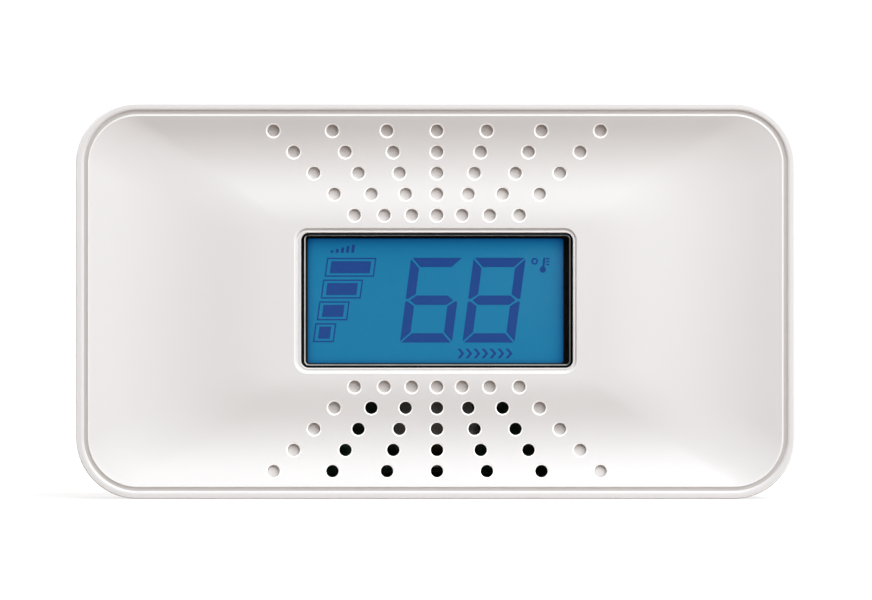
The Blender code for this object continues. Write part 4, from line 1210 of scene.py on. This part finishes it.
def add_area_light(name, towards, distance, size, power, colour=(1, 1, 1), in_reflections=True):
    """A round soft box that faces the case from a direction."""
    data = bpy.data.lights.new(name, "AREA")
    data.shape = "DISK"
    data.size = size
    data.energy = power
    data.color = colour
    light = bpy.data.objects.new(name, data)
    light.visible_camera = False
    light.visible_glossy = in_reflections
    direction = Vector(towards).normalized()
    light.location = Vector((0, 0, MID_Z)) + direction * distance
    light.rotation_euler = direction.to_track_quat("Z", "Y").to_euler()
    bpy.context.scene.collection.objects.link(light)


def make_world():
    """White behind the case, and warm fill light that comes mostly from below and from the back."""
    world = bpy.data.worlds.new("studio")
    world.use_nodes = True
    tree = world.node_tree
    background = tree.nodes["Background"]
    is_seen = camera_only(tree, 1.0, 0.0)
    fill_colour = (1.0, 0.955, 0.915)
    feed(tree, background.inputs["Color"], mix_colour(tree, is_seen, fill_colour, (1.0, 1.0, 1.0)))
    direction = add_node(tree, "ShaderNodeTexCoord").outputs["Generated"]
    from_behind = direction_match(tree, (0, 1, -1), direction)
    fill = remap(tree, from_behind, 0.1, 0.8, -0.5, 0.2, "SMOOTHSTEP")
    feed(tree, background.inputs["Strength"], camera_only(tree, 1.05, fill))
    bpy.context.scene.world = world


def make_floor():
    """A wide pale sheet just under the case. It brightens away from it, as a lit sweep does."""
    size = (6.0, 6.0, 1.0)
    rings = [level_ring(size, z, 0, 0, 6) for z in (-20 * MM, -0.05 * MM)]
    floor = new_solid("floor", rings)
    material, tree, shader = new_material("floor")
    is_seen = camera_only(tree, 1.0, 0.0)
    reach = add_node(tree, "ShaderNodeVectorMath", operation="LENGTH")
    feed(tree, reach.inputs[0], object_coords(tree))
    sweep = remap(tree, reach.outputs["Value"], 0.76, 1.0, 0.1, 0.7)
    feed_all(tree, shader, {
        "Base Color": mix_colour(tree, is_seen, (0.22, 0.157, 0.12), (0.4, 0.4, 0.4)),
        "Roughness": remap(tree, noise(tree, 40), 0.75, 0.85),
        "Specular IOR Level": 0.1,
        "Emission Color": (1.0, 1.0, 1.0),
        "Emission Strength": multiply(tree, is_seen, sweep),
    })
    floor.data.materials.append(material)


def make_stage():
    make_camera()
    make_world()
    make_floor()
    add_area_light("key", (0.43, -0.86, 0.79), 1.7, 1.8, 43.6, colour=(0.945, 0.985, 1.0))
    add_area_light("back_fill", (-0.6, 1, 0.2), 1.6, 0.9, 8, in_reflections=False)
    bpy.context.scene.view_settings.view_transform = "Standard"


# ------------------------ assembly

materials = make_materials()
make_front_cover(materials["white_case"])
make_rear_cover(materials["white_case"])
make_test_button(materials["white_case"])
make_power_slider(materials["black_plastic"])
for screw_node in CASE_SCREWS:
    make_case_screw(screw_node, materials["zinc_steel"])
make_rear_label(materials["label_film"])

make_lens(materials["clear_lens"], materials["lens_glint"])
segments_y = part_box("lcd_front_glass")[0].y - 0.07 * MM
for make_print in (make_digits, make_level_bars, make_symbols):
    make_print(materials["lcd_segments"], segments_y)

SPECIAL = {
    "lcd_front_glass": "lcd_backlit",
    "lcd_rear_glass": "lcd_backlit",
    "display_holder": "matt_black",
    "horn_cup": "horn_grey",
    "piezo_plate": "dark_brass",
}
dress_nodes(materials, SPECIAL)
make_stage()
